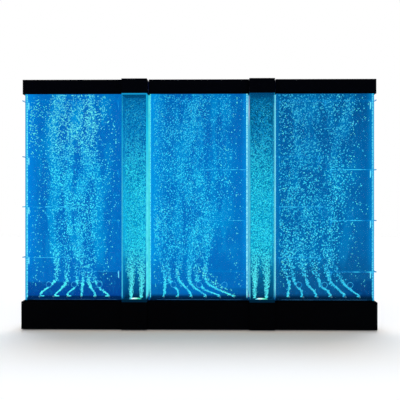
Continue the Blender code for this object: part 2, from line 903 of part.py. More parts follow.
def make_knob():
    x, y = knob_spot()
    low = cabinet_top + seat_gap
    outline = []
    for step in range(2 * knob_flutes):
        radius = knob_radius - knob_flute_depth * (step % 2)
        angle = math.pi * step / knob_flutes
        outline.append((x + radius * math.cos(angle), y + radius * math.sin(angle)))
    bm = bmesh.new()
    add_prism(bm, outline, low, low + knob_height)
    knob = add_object("air_flow_knob", bm, "satin_black", (x, y, low))
    bore = bmesh.new()
    top = cabinet_top + spindle_rise + seat_gap
    # The bore's flats clear the spindle's corners as the knob turns.
    bore_radius = (stem_radius + seat_gap) / math.cos(math.pi / stem_sides)
    add_rod(bore, (x, y, 0), bore_radius, low - cut_margin, top, sides=stem_sides)
    add_boolean(knob, "spindle_bore", bore)


def comb_outline(x, low, width, body, fin, fins):
    # A block with a row of cooling fins along its top.
    outline = [(x - width / 2, low), (x + width / 2, low)]
    pitch = width / (2 * fins - 1)
    for step in range(fins):
        right = x + width / 2 - 2 * step * pitch
        outline += [(right, low + body + fin), (right - pitch, low + body + fin)]
        if step < fins - 1:
            outline += [(right - pitch, low + body), (right - 2 * pitch, low + body)]
    return outline


def pump_outlet():
    # Open end of the pump's hose spigot.
    x = panel_centre(middle_panel) + pump_x - pump_width / 2 - pump_spigot
    return x, pump_y, floor_top + seat_gap + pump_foot + pump_body / 2


def make_pump():
    x = panel_centre(middle_panel) + pump_x
    low = floor_top + seat_gap + pump_foot
    y_range = (pump_y - pump_depth / 2, pump_y + pump_depth / 2)
    bm = bmesh.new()
    add_prism(bm, comb_outline(x, low, pump_width, pump_body, pump_fin, pump_fins), *y_range, axis="Y")
    pump = add_object("air_pump", bm, "blue_plastic")
    fittings = bmesh.new()
    for side in (-1, 1):
        for end in (-1, 1):
            foot_x = x + side * (pump_width / 2 - 2 * pump_foot_radius)
            foot_y = pump_y + end * (pump_depth / 2 - 2 * pump_foot_radius)
            ends = (low - pump_foot, low + pump_foot)
            add_rod(fittings, (foot_x, foot_y, 0), pump_foot_radius, *ends, sides=pump_foot_sides)
    outlet_x, outlet_y, outlet_z = pump_outlet()
    ends = (outlet_x, x - pump_width / 2 + pump_spigot / 2)
    add_rod(fittings, (0, outlet_y, outlet_z), stub_radius, *ends, axis="X", sides=stem_sides)
    add_boolean(pump, "fittings", fittings, "UNION")


def bend_points(start, start_pull, end_pull, end, steps):
    # Points along one cubic bend between two ends.
    corners = [Vector(point) for point in (start, start_pull, end_pull, end)]
    points = []
    for step in range(steps + 1):
        t = step / steps
        shares = ((1 - t) ** 3, 3 * t * (1 - t) ** 2, 3 * t**2 * (1 - t), t**3)
        points.append(sum((share * corner for share, corner in zip(shares, corners)), Vector()))
    return points


def make_hose():
    outlet = Vector(pump_outlet()) - Vector((2 * seat_gap, 0, 0))
    stub = Vector(rail_stub()) - Vector((0, 0, 2 * seat_gap))
    outlet_pull = outlet - Vector((hose_bend, 0, 0))
    stub_pull = stub - Vector((0, 0, hose_bend))
    points = bend_points(outlet, outlet_pull, stub_pull, stub, hose_steps)
    curve = bpy.data.curves.new("air_hose", "CURVE")
    curve.dimensions = "3D"
    curve.bevel_depth = hose_radius
    curve.bevel_resolution = 2
    curve.use_fill_caps = True
    spline = curve.splines.new("POLY")
    spline.points.add(len(points) - 1)
    for target, point in zip(spline.points, points):
        target.co = (*point, 1.0)
    curve.materials.append(material("hose"))
    hose = bpy.data.objects.new("air_hose", curve)
    bpy.context.scene.collection.objects.link(hose)


# Lighting


def make_panel_lights():
    top = cabinet_top - seat_gap
    seat = deck_underside - seat_gap
    low = seat - light_flange_depth
    outline = [
        (light_front, top), (light_front, seat), (light_front - light_flange, seat),
        (light_front - light_flange, low), (light_back + light_flange, low),
        (light_back + light_flange, seat), (light_back, seat), (light_back, top),
    ]
    for index, name in enumerate(panel_names):
        x = panel_centre(index)
        bm = bmesh.new()
        add_prism(bm, outline, x - light_half_length, x + light_half_length, axis="X")
        add_object("panel_light_" + name, bm, "light_lens")


def make_column_lights():
    low = cabinet_top + seat_gap + column_floor + seat_gap
    high = low + column_light_height
    rim = column_light_radius
    inward, upward = lens_edge_shares
    profile = ((rim, low), (rim, low + column_light_height * upward), (rim * inward, high))
    for index, name in enumerate(column_names):
        bm = bmesh.new()
        add_lathe(bm, profile, (column_centre(index), column_middle, 0), sides=lens_sides)
        light = add_object("column_light_" + name, bm, "light_lens", smooth=True)
        holes = bmesh.new()
        for x, y in column_nozzles(index):
            radius = collar_radius + seat_gap
            add_rod(holes, (x, y, 0), radius, low - cut_margin, high + cut_margin, sides=stem_sides)
        add_boolean(light, "nozzle_holes", holes)


# Electrics


def make_controller():
    x = panel_centre(middle_panel) + controller_x_share * panel_cap_width
    width, depth, height = controller_size
    low = floor_top + seat_gap
    ear = height * controller_ear_share
    edge = height * controller_edge_share
    left, right, top = x - width / 2, x + width / 2, low + height
    outline = [
        (left - ear, low), (right + ear, low), (right + ear, low + edge), (right, low + edge),
        (right, top - edge), (right - edge, top), (left + edge, top), (left, top - edge),
        (left, low + edge), (left - ear, low + edge),
    ]
    bm = bmesh.new()
    add_prism(bm, outline, electrics_y - depth / 2, electrics_y + depth / 2, axis="Y")
    add_object("light_controller", bm, "grey_plastic")


def make_supply():
    x = panel_centre(middle_panel) + supply_x_share * panel_cap_width
    width, depth, height = supply_size
    low = floor_top + seat_gap
    body = height * supply_body_share
    outline = comb_outline(x, low, width, body, height - body, supply_fins)
    bm = bmesh.new()
    add_prism(bm, outline, electrics_y - depth / 2, electrics_y + depth / 2, axis="Y")
    add_object("power_supply", bm, "aluminium")


def make_inlet():
    x, y, z = inlet_centre()
    bm = bmesh.new()
    centred_box(bm, (x, z), inlet_plate, (y + seat_gap, y + seat_gap + inlet_plate[1]))
    inlet = add_object("mains_inlet", bm, "satin_black")
    face = y + seat_gap + inlet_plate[1]

    body = bmesh.new()
    centred_box(body, (x, z), inlet_body, (y - inlet_body[1], face - inlet_plate[1] / 2))
    add_boolean(inlet, "body", body, "UNION")

    recesses = bmesh.new()
    for height, size in ((z - inlet_socket_drop, inlet_socket), (z + rocker_rise, rocker_opening)):
        centred_box(recesses, (x, height), size, (face - size[1], face + cut_margin))
    add_boolean(inlet, "recesses", recesses)

    pins = bmesh.new()
    floor = face - inlet_socket[1]
    for offset in (-1, 0, 1):
        centre = (x + offset * inlet_pin_pitch, z - inlet_socket_drop)
        centred_box(pins, centre, inlet_pin, (floor - inlet_plate[1], floor + inlet_pin[1]))
    add_boolean(inlet, "pins", pins, "UNION")


def make_rocker():
    x, y, z = inlet_centre()
    z += rocker_rise
    y += seat_gap + inlet_plate[1] - rocker_opening[1] * rocker_seat_share
    out = rocker_half * rocker_out_share
    root = -out * rocker_root_shares[0]
    root_half = rocker_half * rocker_root_shares[1]
    profile = [
        (out, rocker_half), (out * rocker_dip_share, 0), (out, -rocker_half),
        (root, -root_half), (root, root_half),
    ]
    turn = Matrix.Rotation(math.radians(rocker_tilt), 2)
    turned = [turn @ Vector(point) for point in profile]
    bm = bmesh.new()
    outline = [(y + point.x, z + point.y) for point in turned]
    add_prism(bm, outline, x - rocker_width / 2, x + rocker_width / 2, axis="X")
    add_object("rocker_switch", bm, "grey_plastic", (x, y, z))


def main():
    clear_scene()
    make_cabinets()
    make_cabinet_floor()
    make_doors()
    make_panel_tanks()
    make_columns()
    make_panel_caps()
    make_column_caps()
    make_shelves()
    make_air_rail()
    make_knob()
    make_pump()
    make_hose()
    make_panel_lights()
    make_column_lights()
    make_controller()
    make_supply()
    make_inlet()
    make_rocker()


main()
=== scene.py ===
import math

import bmesh
import bpy
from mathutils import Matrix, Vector

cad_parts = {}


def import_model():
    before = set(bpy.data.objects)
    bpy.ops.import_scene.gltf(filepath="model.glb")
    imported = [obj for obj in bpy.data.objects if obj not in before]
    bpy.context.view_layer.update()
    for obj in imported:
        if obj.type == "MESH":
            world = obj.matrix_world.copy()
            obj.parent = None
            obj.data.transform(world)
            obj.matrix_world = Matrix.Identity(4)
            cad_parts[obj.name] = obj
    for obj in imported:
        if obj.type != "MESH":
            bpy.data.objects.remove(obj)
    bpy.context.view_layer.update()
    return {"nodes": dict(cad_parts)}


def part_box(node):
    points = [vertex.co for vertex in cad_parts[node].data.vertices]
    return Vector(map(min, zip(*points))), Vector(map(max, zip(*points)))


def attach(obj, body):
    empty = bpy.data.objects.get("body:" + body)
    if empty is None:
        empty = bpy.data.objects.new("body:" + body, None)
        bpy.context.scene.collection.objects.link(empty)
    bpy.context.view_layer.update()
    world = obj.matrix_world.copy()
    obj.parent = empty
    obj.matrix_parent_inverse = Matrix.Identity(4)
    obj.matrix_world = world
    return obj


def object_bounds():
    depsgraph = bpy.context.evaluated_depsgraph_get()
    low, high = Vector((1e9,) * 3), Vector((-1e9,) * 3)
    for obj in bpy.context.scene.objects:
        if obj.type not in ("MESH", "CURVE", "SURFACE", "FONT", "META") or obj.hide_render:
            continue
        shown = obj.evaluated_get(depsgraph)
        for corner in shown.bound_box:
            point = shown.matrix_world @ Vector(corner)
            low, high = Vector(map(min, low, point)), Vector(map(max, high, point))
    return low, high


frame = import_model()
nodes = frame["nodes"]
panelNames = ("left", "centre", "right")
columnNames = ("left", "right")
print("frame loaded")


def linear(part):
    # one part of a screen's colour, in the linear values that Blender wants
    return part / 255 / 12.92 if part < 11 else ((part / 255 + 0.055) / 1.055) ** 2.4


def screen(red, green, blue):
    return linear(red), linear(green), linear(blue)


def scaled(colour, share):
    return tuple(part * share for part in colour)


def addObject(name, data):
    obj = bpy.data.objects.new(name, data)
    bpy.context.scene.collection.objects.link(obj)
    return obj


def operator(operation, swapped=False):
    # an operator or a method of Val that adds a node for its sum
    def method(self, other):
        return self.graph.maths(operation, *((other, self) if swapped else (self, other)))

    return method


class Val:
    # one socket of a node tree, so that sums on it read as plain Python
    def __init__(self, graph, socket):
        self.graph = graph
        self.socket = socket

    def __abs__(self):
        return self.graph.maths("ABSOLUTE", self)

    __add__ = operator("ADD")
    __radd__ = operator("ADD", swapped=True)
    __sub__ = operator("SUBTRACT")
    __rsub__ = operator("SUBTRACT", swapped=True)
    __mul__ = operator("MULTIPLY")
    __truediv__ = operator("DIVIDE")
    __gt__ = operator("GREATER_THAN")
    upTo = operator("MINIMUM")
    atLeast = operator("MAXIMUM")


class Graph:
    # a node tree that grows node by node: a Val is linked to an input, other values are set
    def add(self, kind, inputs=None, out=0, **settings):
        node = self.tree.nodes.new(kind)
        for key, value in settings.items():
            setattr(node, key, value)
        for key, value in (inputs or {}).items():
            if isinstance(value, Val):
                self.tree.links.new(value.socket, node.inputs[key])
            elif isinstance(value, tuple) and node.inputs[key].type == "RGBA":
                node.inputs[key].default_value = (*value, 1.0)
            else:
                node.inputs[key].default_value = value
        return Val(self, node.outputs[out])

    def maths(self, operation, *values):
        return self.add("ShaderNodeMath", dict(enumerate(values)), operation=operation)

    def vector(self, operation, *values, out=0):
        inputs = dict(enumerate(values))
        return self.add("ShaderNodeVectorMath", inputs, out, operation=operation)

    def split(self, value):
        made = self.add("ShaderNodeSeparateXYZ", {0: value})
        return [Val(self, socket) for socket in made.socket.node.outputs]

    def mapRange(self, value, low, high, toLow=0.0, toHigh=1.0, **settings):
        ends = {0: value, 1: low, 2: high, 3: toLow, 4: toHigh}
        return self.add("ShaderNodeMapRange", ends, **settings)


class Look(Graph):
    # a material with a Principled shader whose fixed values are set at once
    def __init__(self, name, **fixed):
        self.material = bpy.data.materials.new(name)
        self.material.use_nodes = True
        self.tree = self.material.node_tree
        self.shader = self.tree.nodes["Principled BSDF"]
        for socket, value in fixed.items():
            self.shader.inputs[socket.replace("_", " ")].default_value = value
        self.place = self.add("ShaderNodeTexCoord", out="Object")

    def xyz(self):
        return self.split(self.place)

    def noise(self, scale, detail=3.0, stretch=(1, 1, 1), roughness=0.5):
        spot = self.vector("MULTIPLY", self.place, stretch)
        inputs = {"Vector": spot, "Scale": scale, "Detail": detail, "Roughness": roughness}
        return self.add("ShaderNodeTexNoise", inputs)

    def ramp(self, value, *stops):
        shade = self.add("ShaderNodeValToRGB", {0: value})
        marks = shade.socket.node.color_ramp.elements
        while len(marks) < len(stops):
            marks.new(0.5)
        for mark, (position, colour) in zip(marks, stops):
            mark.position = position
            mark.color = (*colour, 1.0)
        return shade

    def blend(self, factor, first, second):
        colours = {0: factor, 6: first, 7: second}
        return self.add("ShaderNodeMix", colours, 2, data_type="RGBA")

    def step(self, value, low, high, toLow=0.0, toHigh=1.0):
        smooth = {"interpolation_type": "SMOOTHSTEP"}
        return self.mapRange(value, low, high, toLow, toHigh, **smooth)

    def feed(self, **sockets):
        for socket, value in sockets.items():
            self.tree.links.new(value.socket, self.shader.inputs[socket.replace("_", " ")])
        return self.material

    def bump(self, height, strength, distance):
        inputs = {"Strength": strength, "Distance": distance, "Height": height}
        self.feed(Normal=self.add("ShaderNodeBump", inputs))


def litLook(name, roughness, shine, strength=1.0):
    # a look that gives light of its own
    fixed = {"Roughness": roughness, "Specular_IOR_Level": shine, "Emission_Strength": strength}
    return Look(name, **fixed)


def dress(name, material):
    slots = nodes[name].data.materials
    if len(slots) == 0:
        slots.append(material)
    for index in range(len(slots)):
        slots[index] = material


# the camera, as the picture was taken; points of the picture are counted from its top left
view = {
    "place": (0.139, -6.428, 1.030), "turn": 1.172, "focus": 830.0 / 400, "horizonY": 194.9,
    "width": 400, "centre": 200, "sensor": 36.0,
}

cameraData = bpy.data.cameras.new("camera")
cameraData.sensor_width = view["sensor"]
cameraData.lens = view["sensor"] * view["focus"]
cameraData.shift_y = (view["horizonY"] - view["centre"]) / view["width"]
camera = addObject("camera", cameraData)
camera.location = view["place"]
camera.rotation_euler = (math.radians(90), 0, math.radians(view["turn"]))
bpy.context.scene.camera = camera


def onTank(px, py, depth):
    # where a point of the picture lies on an upright plane of the wall
    turn = math.radians(view["turn"])
    across = (px - view["centre"]) / view["width"] / view["focus"]
    up = (view["horizonY"] - py) / view["width"] / view["focus"]
    east = across * math.cos(turn) - math.sin(turn)
    ray = Vector((east, math.cos(turn) + across * math.sin(turn), up))
    start = Vector(view["place"])
    return start + ray * ((depth - start.y) / ray.y)


panelBox = {name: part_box("front_sheet_" + name) for name in panelNames}
columnBox = {name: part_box("column_tank_" + name) for name in columnNames}
waterBox = {name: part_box("panel_water_" + name) for name in panelNames}
columnWaterBox = {name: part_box("column_water_" + name) for name in columnNames}
wallEnd = panelBox["right"][1].x
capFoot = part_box("panel_cap_left")[0].z
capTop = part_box("panel_cap_left")[1].z
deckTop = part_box("base_cabinet_centre")[1].z


def lacquerLook(name, colour, gloss, wave, shine):
    look = Look(name, Specular_IOR_Level=shine)
    cloud = look.noise(3.0, 4.0)
    fine = look.noise(140.0, 2.0)
    dust = look.step(look.noise(420.0, 1.0), 0.62, 0.70)
    worn = tuple(part * 2.2 + 0.0006 for part in colour)
    look.bump(look.noise(wave, 2.0), 0.04, 0.002)
    return look.feed(
        Base_Color=look.blend(dust * 0.5, look.blend(cloud, scaled(colour, 0.6), colour), worn),
        Roughness=gloss + cloud * 0.05 + fine * 0.03 + dust * 0.1,
    )


# plain finishes: patches darken the colour and vary the gloss, and a grain, or else the
# patches, makes the surface uneven by a strength and a depth
finishes = {
    "board": {
        "fixed": {"Specular_IOR_Level": 0.2}, "patches": (60.0, 5.0, (0.15, 1, 1)),
        "dark": 0.6, "vary": 0.2, "bump": (0.12, 0.0006),
    },
    "metal": {
        "fixed": {"Metallic": 1.0}, "patches": (220.0, 4.0, (1, 0.04, 0.04)),
        "dark": 0.7, "vary": 0.18, "bump": (0.08, 0.0004),
    },
    "plastic": {
        "fixed": {"Specular_IOR_Level": 0.4}, "patches": (9.0, 3.0), "grain": (500.0, 3.0),
        "dark": 0.8, "vary": 0.12, "bump": (0.15, 0.0003),
    },
}
finishes["tube"] = dict(finishes["plastic"], grain=(200.0, 3.0))


def finishLook(name, kind, colour, roughness):
    finish = finishes[kind]
    look = Look(name, **finish["fixed"])
    patches = look.noise(*finish["patches"])
    grain = look.noise(*finish["grain"]) if "grain" in finish else patches
    look.bump(grain, *finish["bump"])
    return look.feed(
        Base_Color=look.blend(patches, scaled(colour, finish["dark"]), colour),
        Roughness=roughness + patches * finish["vary"],
    )


capLacquer = lacquerLook("capLacquer", (0.0008, 0.0012, 0.0030), 0.24, 5.0, 0.005)
baseLacquer = lacquerLook("baseLacquer", (0.0018, 0.0021, 0.0030), 0.12, 3.0, 0.0)
blackBoard = finishLook("blackBoard", "board", (0.014, 0.015, 0.017), 0.42)
dress("base_floor", blackBoard)
for name in panelNames:
    dress("base_cabinet_" + name, baseLacquer)
    dress("panel_cap_" + name, capLacquer)
    dress("service_door_" + name, blackBoard)
for name in columnNames:
    dress("column_cap_" + name, capLacquer)

fittings = {
    "power_supply": ("supplyCase", "metal", (0.60, 0.61, 0.63), 0.32),
    "air_pump": ("pumpEnamel", "plastic", (0.015, 0.12, 0.36), 0.35),
    "light_controller": ("controllerCase", "plastic", (0.16, 0.165, 0.17), 0.45),
    "mains_inlet": ("inletBody", "plastic", (0.018, 0.018, 0.020), 0.40),
    "air_flow_knob": ("knobBody", "plastic", (0.020, 0.020, 0.022), 0.38),
    "rocker_switch": ("rockerCap", "plastic", (0.030, 0.030, 0.032), 0.30),
    "air_hose": ("hoseTube", "tube", (0.45, 0.55, 0.58), 0.25),
    "air_rail": ("railPlastic", "plastic", (0.10, 0.30, 0.42), 0.35),
}
for name, settings in fittings.items():
    dress(name, finishLook(*settings))
print("black parts and fittings dressed")


# where bubbles crowd together, for the bubbles and for the glow behind them: one noise, drawn
# out upwards; it thins the bubbles from the foot height above the deck
clumps = {
    "scale": 11.0, "detail": 3.0, "stretch": (1.0, 0.0, 0.28), "thin": 0.40, "thick": 0.60,
    "foot": 0.15,
}

# back sheets that glow, in colours as a screen shows them. The dark foot is painted shade
# that fades between two heights above the deck. At each side the corner is darker with
# painted shade, by its share, top and reach, and the edge brighter with painted light, by
# its width and share; where bubbles crowd, the glow is brighter with painted light.
panelGlow = {
    "left": {
        "foot": (0, 26, 74), "low": (0, 96, 186), "middle": (0, 98, 186), "high": (0, 98, 184),
        "corner": (0, 50, 140), "haze": (0, 164, 228), "edge": (0, 140, 236),
    },
    "centre": {
        "foot": (0, 14, 44), "low": (0, 96, 180), "middle": (0, 104, 188), "high": (0, 80, 160),
        "corner": (0, 80, 152), "haze": (0, 152, 218), "edge": (0, 158, 236),
    },
    "right": {
        "foot": (0, 14, 38), "low": (6, 68, 122), "middle": (0, 84, 152), "high": (0, 56, 112),
        "corner": (0, 40, 104), "haze": (0, 124, 190), "edge": (0, 136, 208),
    },
}
panelShape = {
    "left": {
        "foot": (0.020, 0.034),
        "west": {"corner": (0.97, 0.135, 2.2), "edge": (0.120, 0.70)},
        "east": {"corner": (0.90, 0.225, 0.62), "edge": (0.02, 0.0)},
    },
    "centre": {
        "foot": (0.016, 0.052),
        "west": {"corner": (0.60, 0.120, 0.62), "edge": (0.150, 0.75)},
        "east": {"corner": (0.90, 0.090, 0.62), "edge": (0.060, 0.55)},
    },
    "right": {
        "foot": (0.014, 0.050),
        "west": {"corner": (0.10, 0.120, 0.62), "edge": (0.060, 0.45)},
        "east": {"corner": (0.95, 0.150, 0.62), "edge": (0.060, 0.65)},
    },
}
# what all back sheets share: where the opal sheet starts, and how strong the painted light
# and shade on it are
backSheet = {
    "opalFront": 0.0295, "edgeFade": (0.18, 0.40), "cornerBlur": 0.18,
    "haze": 0.62, "pale": 0.30, "dark": 0.35,
}
# lit lines along the side edges: from and to in metres from the edge, the share that is
# dotted, and the colour
panelEdges = {
    "left": {
        "west": (0.011, 0.019, 0.8, screen(110, 245, 248)),
        "east": (0.0, 0.005, 0.4, screen(50, 226, 250)), "outer": 1.0, "grain": 120.0,
    },
    "centre": {
        "west": (0.0, 0.006, 0.6, screen(90, 238, 244)),
        "east": (0.004, 0.012, 0.5, screen(150, 255, 250)), "outer": 0.0, "grain": 150.0,
    },
    "right": {
        "west": (0.0, 0.001, 0.3, screen(150, 245, 250)),
        "east": (0.008, 0.016, 0.95, screen(90, 215, 235)), "outer": 0.8, "grain": 120.0,
    },
}


# clear parts keep only a share of their glow near the deck, up to full between two heights:
# painted shade at the foot
clearFoot = {"from": 0.015, "to": 0.12, "share": 0.25}
# the lit lines of the front sheets: how soft they are, where they start above the sheet's
# foot, and where the outermost ones lie, from the wall's end
sheetLines = {"soft": 0.002, "crisp": 0.001, "foot": (0.012, 0.03), "outer": (0.014, 0.010)}


def before(look, value, edge, ends):
    # a step between two distances short of an edge
    return look.step(value, edge - ends[0], edge - ends[1])


# painted shade: the glow of clear parts dims near the deck
def footFade(look, z):
    low, high = deckTop + clearFoot["from"], deckTop + clearFoot["to"]
    return look.step(z, low, high, clearFoot["share"], 1.0)


def glowLook(name):
    low, high = panelBox[name]
    glow = {part: screen(*colour) for part, colour in panelGlow[name].items()}
    shape = panelShape[name]
    middle = (low.x + high.x) / 2
    half = (high.x - low.x) / 2
    look = litLook("backGlow_" + name, 0.35, 0.04)
    x, y, z = look.xyz()
    drift = look.noise(3.2, 3.0)
    mottle = look.noise(34.0, 5.0, (1, 1, 0.7), 0.65)
    aside = abs(x - middle) / half
    rise = (z - low.z - drift * 0.06) / (high.z - low.z)
    stops = ((0.0, "low"), (0.10, "low"), (0.22, "middle"), (0.62, "middle"), (1.0, "high"))
    shade = look.ramp(rise, *[(share, glow[part]) for share, part in stops])
    start, end = backSheet["edgeFade"]
    edgeFade = look.step(z, deckTop + start, deckTop + end, 0.30, 1.0)
    # painted light brightens each side's edge and painted shade darkens its lower corner
    for side, reach in (("west", x - low.x), ("east", high.x - x)):
        width, share = shape[side]["edge"]
        shade = look.blend(look.step(reach, width, 0.0) * edgeFade * share, shade, glow["edge"])
        share, top, wide = shape[side]["corner"]
        corner = look.step(reach, half * wide, half * (wide - backSheet["cornerBlur"]))
        corner = corner * look.step(z, deckTop + top + 0.008, deckTop + top - 0.012)
        shade = look.blend(corner * share, shade, glow["corner"])
    # painted light: the glow is brighter where bubbles crowd, and mottled paler and darker
    crowd = look.noise(clumps["scale"], clumps["detail"], clumps["stretch"])
    haze = look.step(crowd, clumps["thin"], clumps["thick"]) * look.step(aside, 0.92, 0.45)
    haze = haze * look.step(rise, 0.06, 0.22) * look.step(rise, 1.0, 0.84, 0.35, 1.0)
    shade = look.blend(haze * backSheet["haze"], shade, glow["haze"])
    pale = look.step(mottle, 0.45, 0.75) * backSheet["pale"]
    dark = look.step(mottle, 0.48, 0.28) * backSheet["dark"]
    shade = look.blend(dark, look.blend(pale, shade, glow["haze"]), glow["low"])
    # painted shade darkens the glow at the foot
    start, end = shape["foot"]
    shade = look.blend(look.step(z, deckTop + end, deckTop + start), shade, glow["foot"])
    opal = y > backSheet["opalFront"]
    return look.feed(
        Base_Color=look.blend(opal, (0.0, 0.02, 0.06), (0.0, 0.01, 0.04)),
        Emission_Color=shade,
        Alpha=0.45 + opal * 0.55,
    )


def sheetLook(name):
    # clear acrylic, brighter along its two lit side edges
    low, high = panelBox[name]
    edge = panelEdges[name]
    look = litLook("clearSheet_" + name, 0.04, 0.04)
    x, _, z = look.xyz()
    fine = look.noise(55.0, 3.0, (0.2, 0.2, 1.0))
    dots = look.step(look.noise(edge["grain"], 2.0, (0.3, 0.3, 1.0)), 0.42, 0.58)
    bands = []
    for side, reach in (("west", x - low.x), ("east", high.x - x)):
        start, end, dotted, _ = edge[side]
        band = look.step(reach, start - sheetLines["soft"], start + sheetLines["crisp"])
        band = band * look.step(reach, end + sheetLines["soft"], end - sheetLines["crisp"])
        bands.append(band * (dots * dotted + (1 - dotted)))
    west, east = bands
    start, end = sheetLines["foot"]
    rim = (west + east).upTo(1.0) * look.step(z, low.z + start, low.z + end)
    outer = before(look, abs(x), wallEnd, sheetLines["outer"]) * edge["outer"]
    clear = (fine * 0.02 + 0.03) * footFade(look, z)
    glow = look.blend(west > 0.02, edge["east"][-1], edge["west"][-1])
    return look.feed(
        Base_Color=look.blend(rim, (0.0, 0.02, 0.05), (0.02, 0.10, 0.14)),
        Emission_Color=look.blend(rim, screen(10, 158, 214), glow),
        Alpha=(rim * 0.9 + outer * 0.88 + clear).upTo(1.0),
    )


def waterLook(name, colour, alpha):
    # the water's blue is painted light: a glow standing in for the lamps' light in it, dimmer
    # near the deck
    look = litLook(name, 0.03, 0.05)
    _, _, z = look.xyz()
    drift = look.noise(7.0, 4.0, (1, 1, 0.6))
    return look.feed(
        Base_Color=look.blend(drift, (0, 0, 0.01), (0.0, 0.01, 0.03)),
        Emission_Color=look.blend(drift, scaled(colour, 0.6), colour),
        Alpha=(drift * alpha + alpha * 0.3) * footFade(look, z),
    )


panelWater = waterLook("panelWater", screen(0, 120, 215), 0.05)
for name in panelNames:
    dress("front_sheet_" + name, sheetLook(name))
    dress("tank_body_" + name, glowLook(name))
    dress("panel_water_" + name, panelWater)

# the two tones of the frosted lenses, and the colours along a round one, from west to east:
# white in the middle and green at its east end
frosted = ((0.3, 0.4, 0.4), (0.6, 0.7, 0.7))
roundStops = (
    (0.0, (0.02, 0.45, 0.60)), (0.16, (0.20, 0.95, 1.0)), (0.30, (0.85, 1.0, 0.98)),
    (0.52, (0.50, 1.0, 0.80)), (0.72, (0.03, 0.72, 0.26)), (1.0, (0.01, 0.42, 0.16)),
)


def barLook():
    look = litLook("barLens", 0.25, 0.1)
    spots = look.step(look.noise(70.0, 2.0), 0.35, 0.65)
    side = look.step(look.noise(9.0, 1.0, (1.0, 0.2, 0.2)), 0.40, 0.60)
    shade = look.blend(spots * 0.4 + side * 0.6, (0.15, 0.55, 1.00), (0.05, 0.30, 0.80))
    return look.feed(Base_Color=look.blend(spots, *frosted), Emission_Color=shade)


def roundLook(name):
    low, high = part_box("column_light_" + name)
    look = litLook("roundLens_" + name, 0.25, 0.1, 1.1)
    x, _, _ = look.xyz()
    fine = look.noise(90.0, 2.0)
    along = (x - low.x) / (high.x - low.x) + (fine - 0.5) * 0.12
    shade = look.ramp(along, *roundStops)
    return look.feed(Base_Color=look.blend(fine, *frosted), Emission_Color=shade)


barLens = barLook()
for name in panelNames:
    dress("panel_light_" + name, barLens)
for name in columnNames:
    dress("column_light_" + name, roundLook(name))


# distances on a shelf: its lit front edge, what shows past the wall's end, the step to its
# brackets, and where those are bright, from the sheet, the wall's end and the shelf's end
shelf = {
    "thickness": 0.007, "rim": 0.0014, "outside": 0.006, "step": (0.0006, 0.0016),
    "close": (0.032, 0.020), "wallEnd": (0.10, 0.04), "shelfEnd": (0.08, 0.03),
}
# how bright the front edge of each shelf is, row a and row b from the top one down; the ones
# over the full width are the faintest
topLine = 0.15
frontLines = {
    "left": {"a": (0.30, 1.0, 0.65), "b": (0.12, 0.35, 0.60)},
    "centre": {"a": (0.25, 0.25, 0.30), "b": (0.90, 0.65, 0.40)},
    "right": {"a": (0.20, 0.90, 0.65), "b": (1.0, 1.0, 1.0)},
}


def shelfLook(name):
    # clear acrylic: its front edge catches light in places, its brackets glow
    low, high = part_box(name)
    look = litLook("acrylic_" + name, 0.05, 0.05)
    x, y, z = look.xyz()
    underside = high.z - shelf["thickness"]
    rim = look.step(y, low.y + shelf["rim"], low.y + shelf["rim"] / 2)
    bracket = before(look, z, underside, shelf["step"])
    outside = look.step(abs(x), wallEnd - shelf["outside"], wallEnd - shelf["outside"] / 2)
    cloud = look.noise(9.0, 3.0)
    streak = look.noise(14.0, 3.0, (1.0, 0.2, 0.2))
    _, panel, spot = name.split("_")
    line = topLine if spot == "top" else frontLines[panel][spot[0]][int(spot[1]) - 1]
    lit = rim * look.step(streak, 0.40, 0.62) * line
    # the brackets are bright close to the sheet, at the wall's ends and on one inner shelf
    close = before(look, y, high.y, shelf["close"])
    near = before(look, abs(x), wallEnd, shelf["wallEnd"]) * close
    if name == "shelf_left_b3":
        near = near.atLeast(before(look, x, high.x, shelf["shelfEnd"]) * close)
    glow = look.blend(lit, screen(0, 130, 215), screen(50, 200, 240))
    bracketGlow = look.blend(near, screen(20, 150, 225), screen(110, 230, 245))
    glow = look.blend(outside, look.blend(bracket, glow, bracketGlow), screen(6, 98, 148))
    alpha = 0.04 + cloud * 0.05 + rim * line * 0.30 + lit * 0.50
    return look.feed(
        Base_Color=look.blend(cloud, (0.0, 0.02, 0.05), (0.0, 0.04, 0.08)),
        Emission_Color=glow,
        Alpha=(alpha + outside * 0.95 + bracket * (0.16 + near * 0.65)).upTo(1.0),
    )


for name in nodes:
    if name.startswith("shelf_"):
        dress(name, shelfLook(name))
print("sheets, shelves and water dressed")


# columns: clear square tubes with a glowing liner round the back of the water; a liner's
# colours, as a screen shows them, go from its foot up
columnGlow = {
    "foot": (0, 20, 52),
    "left": ((0, 62, 114), (0, 118, 182), (0, 166, 222), (0, 110, 184), (0, 92, 158)),
    "right": ((0, 62, 100), (0, 118, 168), (0, 160, 210), (0, 100, 158), (0, 70, 100)),
}
# where a tube's lit parts start and end, from its nearest edge, and how bright the lip and
# the east edge of each tube are
tube = {
    "west": (0.0095, 0.0075), "east": (0.0065, 0.0045), "lip": (0.012, 0.009),
    "head": (0.160, 0.020), "foot": (0.0250, 0.0205), "fade": (0.08, 0.30), "down": (0.2, 0.9),
    "left": (1.0, 1.0), "right": (0.0, 0.45),
}
# a liner's wall and its gap to the water's sides; it gets thin where it passes between the
# tube and the cap's skirt
liner = {
    "wall": 0.004, "inset": 0.0008, "rimWall": 0.0003, "rimInset": -0.0001, "front": 0.030,
    "skirtGap": 0.0005, "topGap": 0.0015,
}


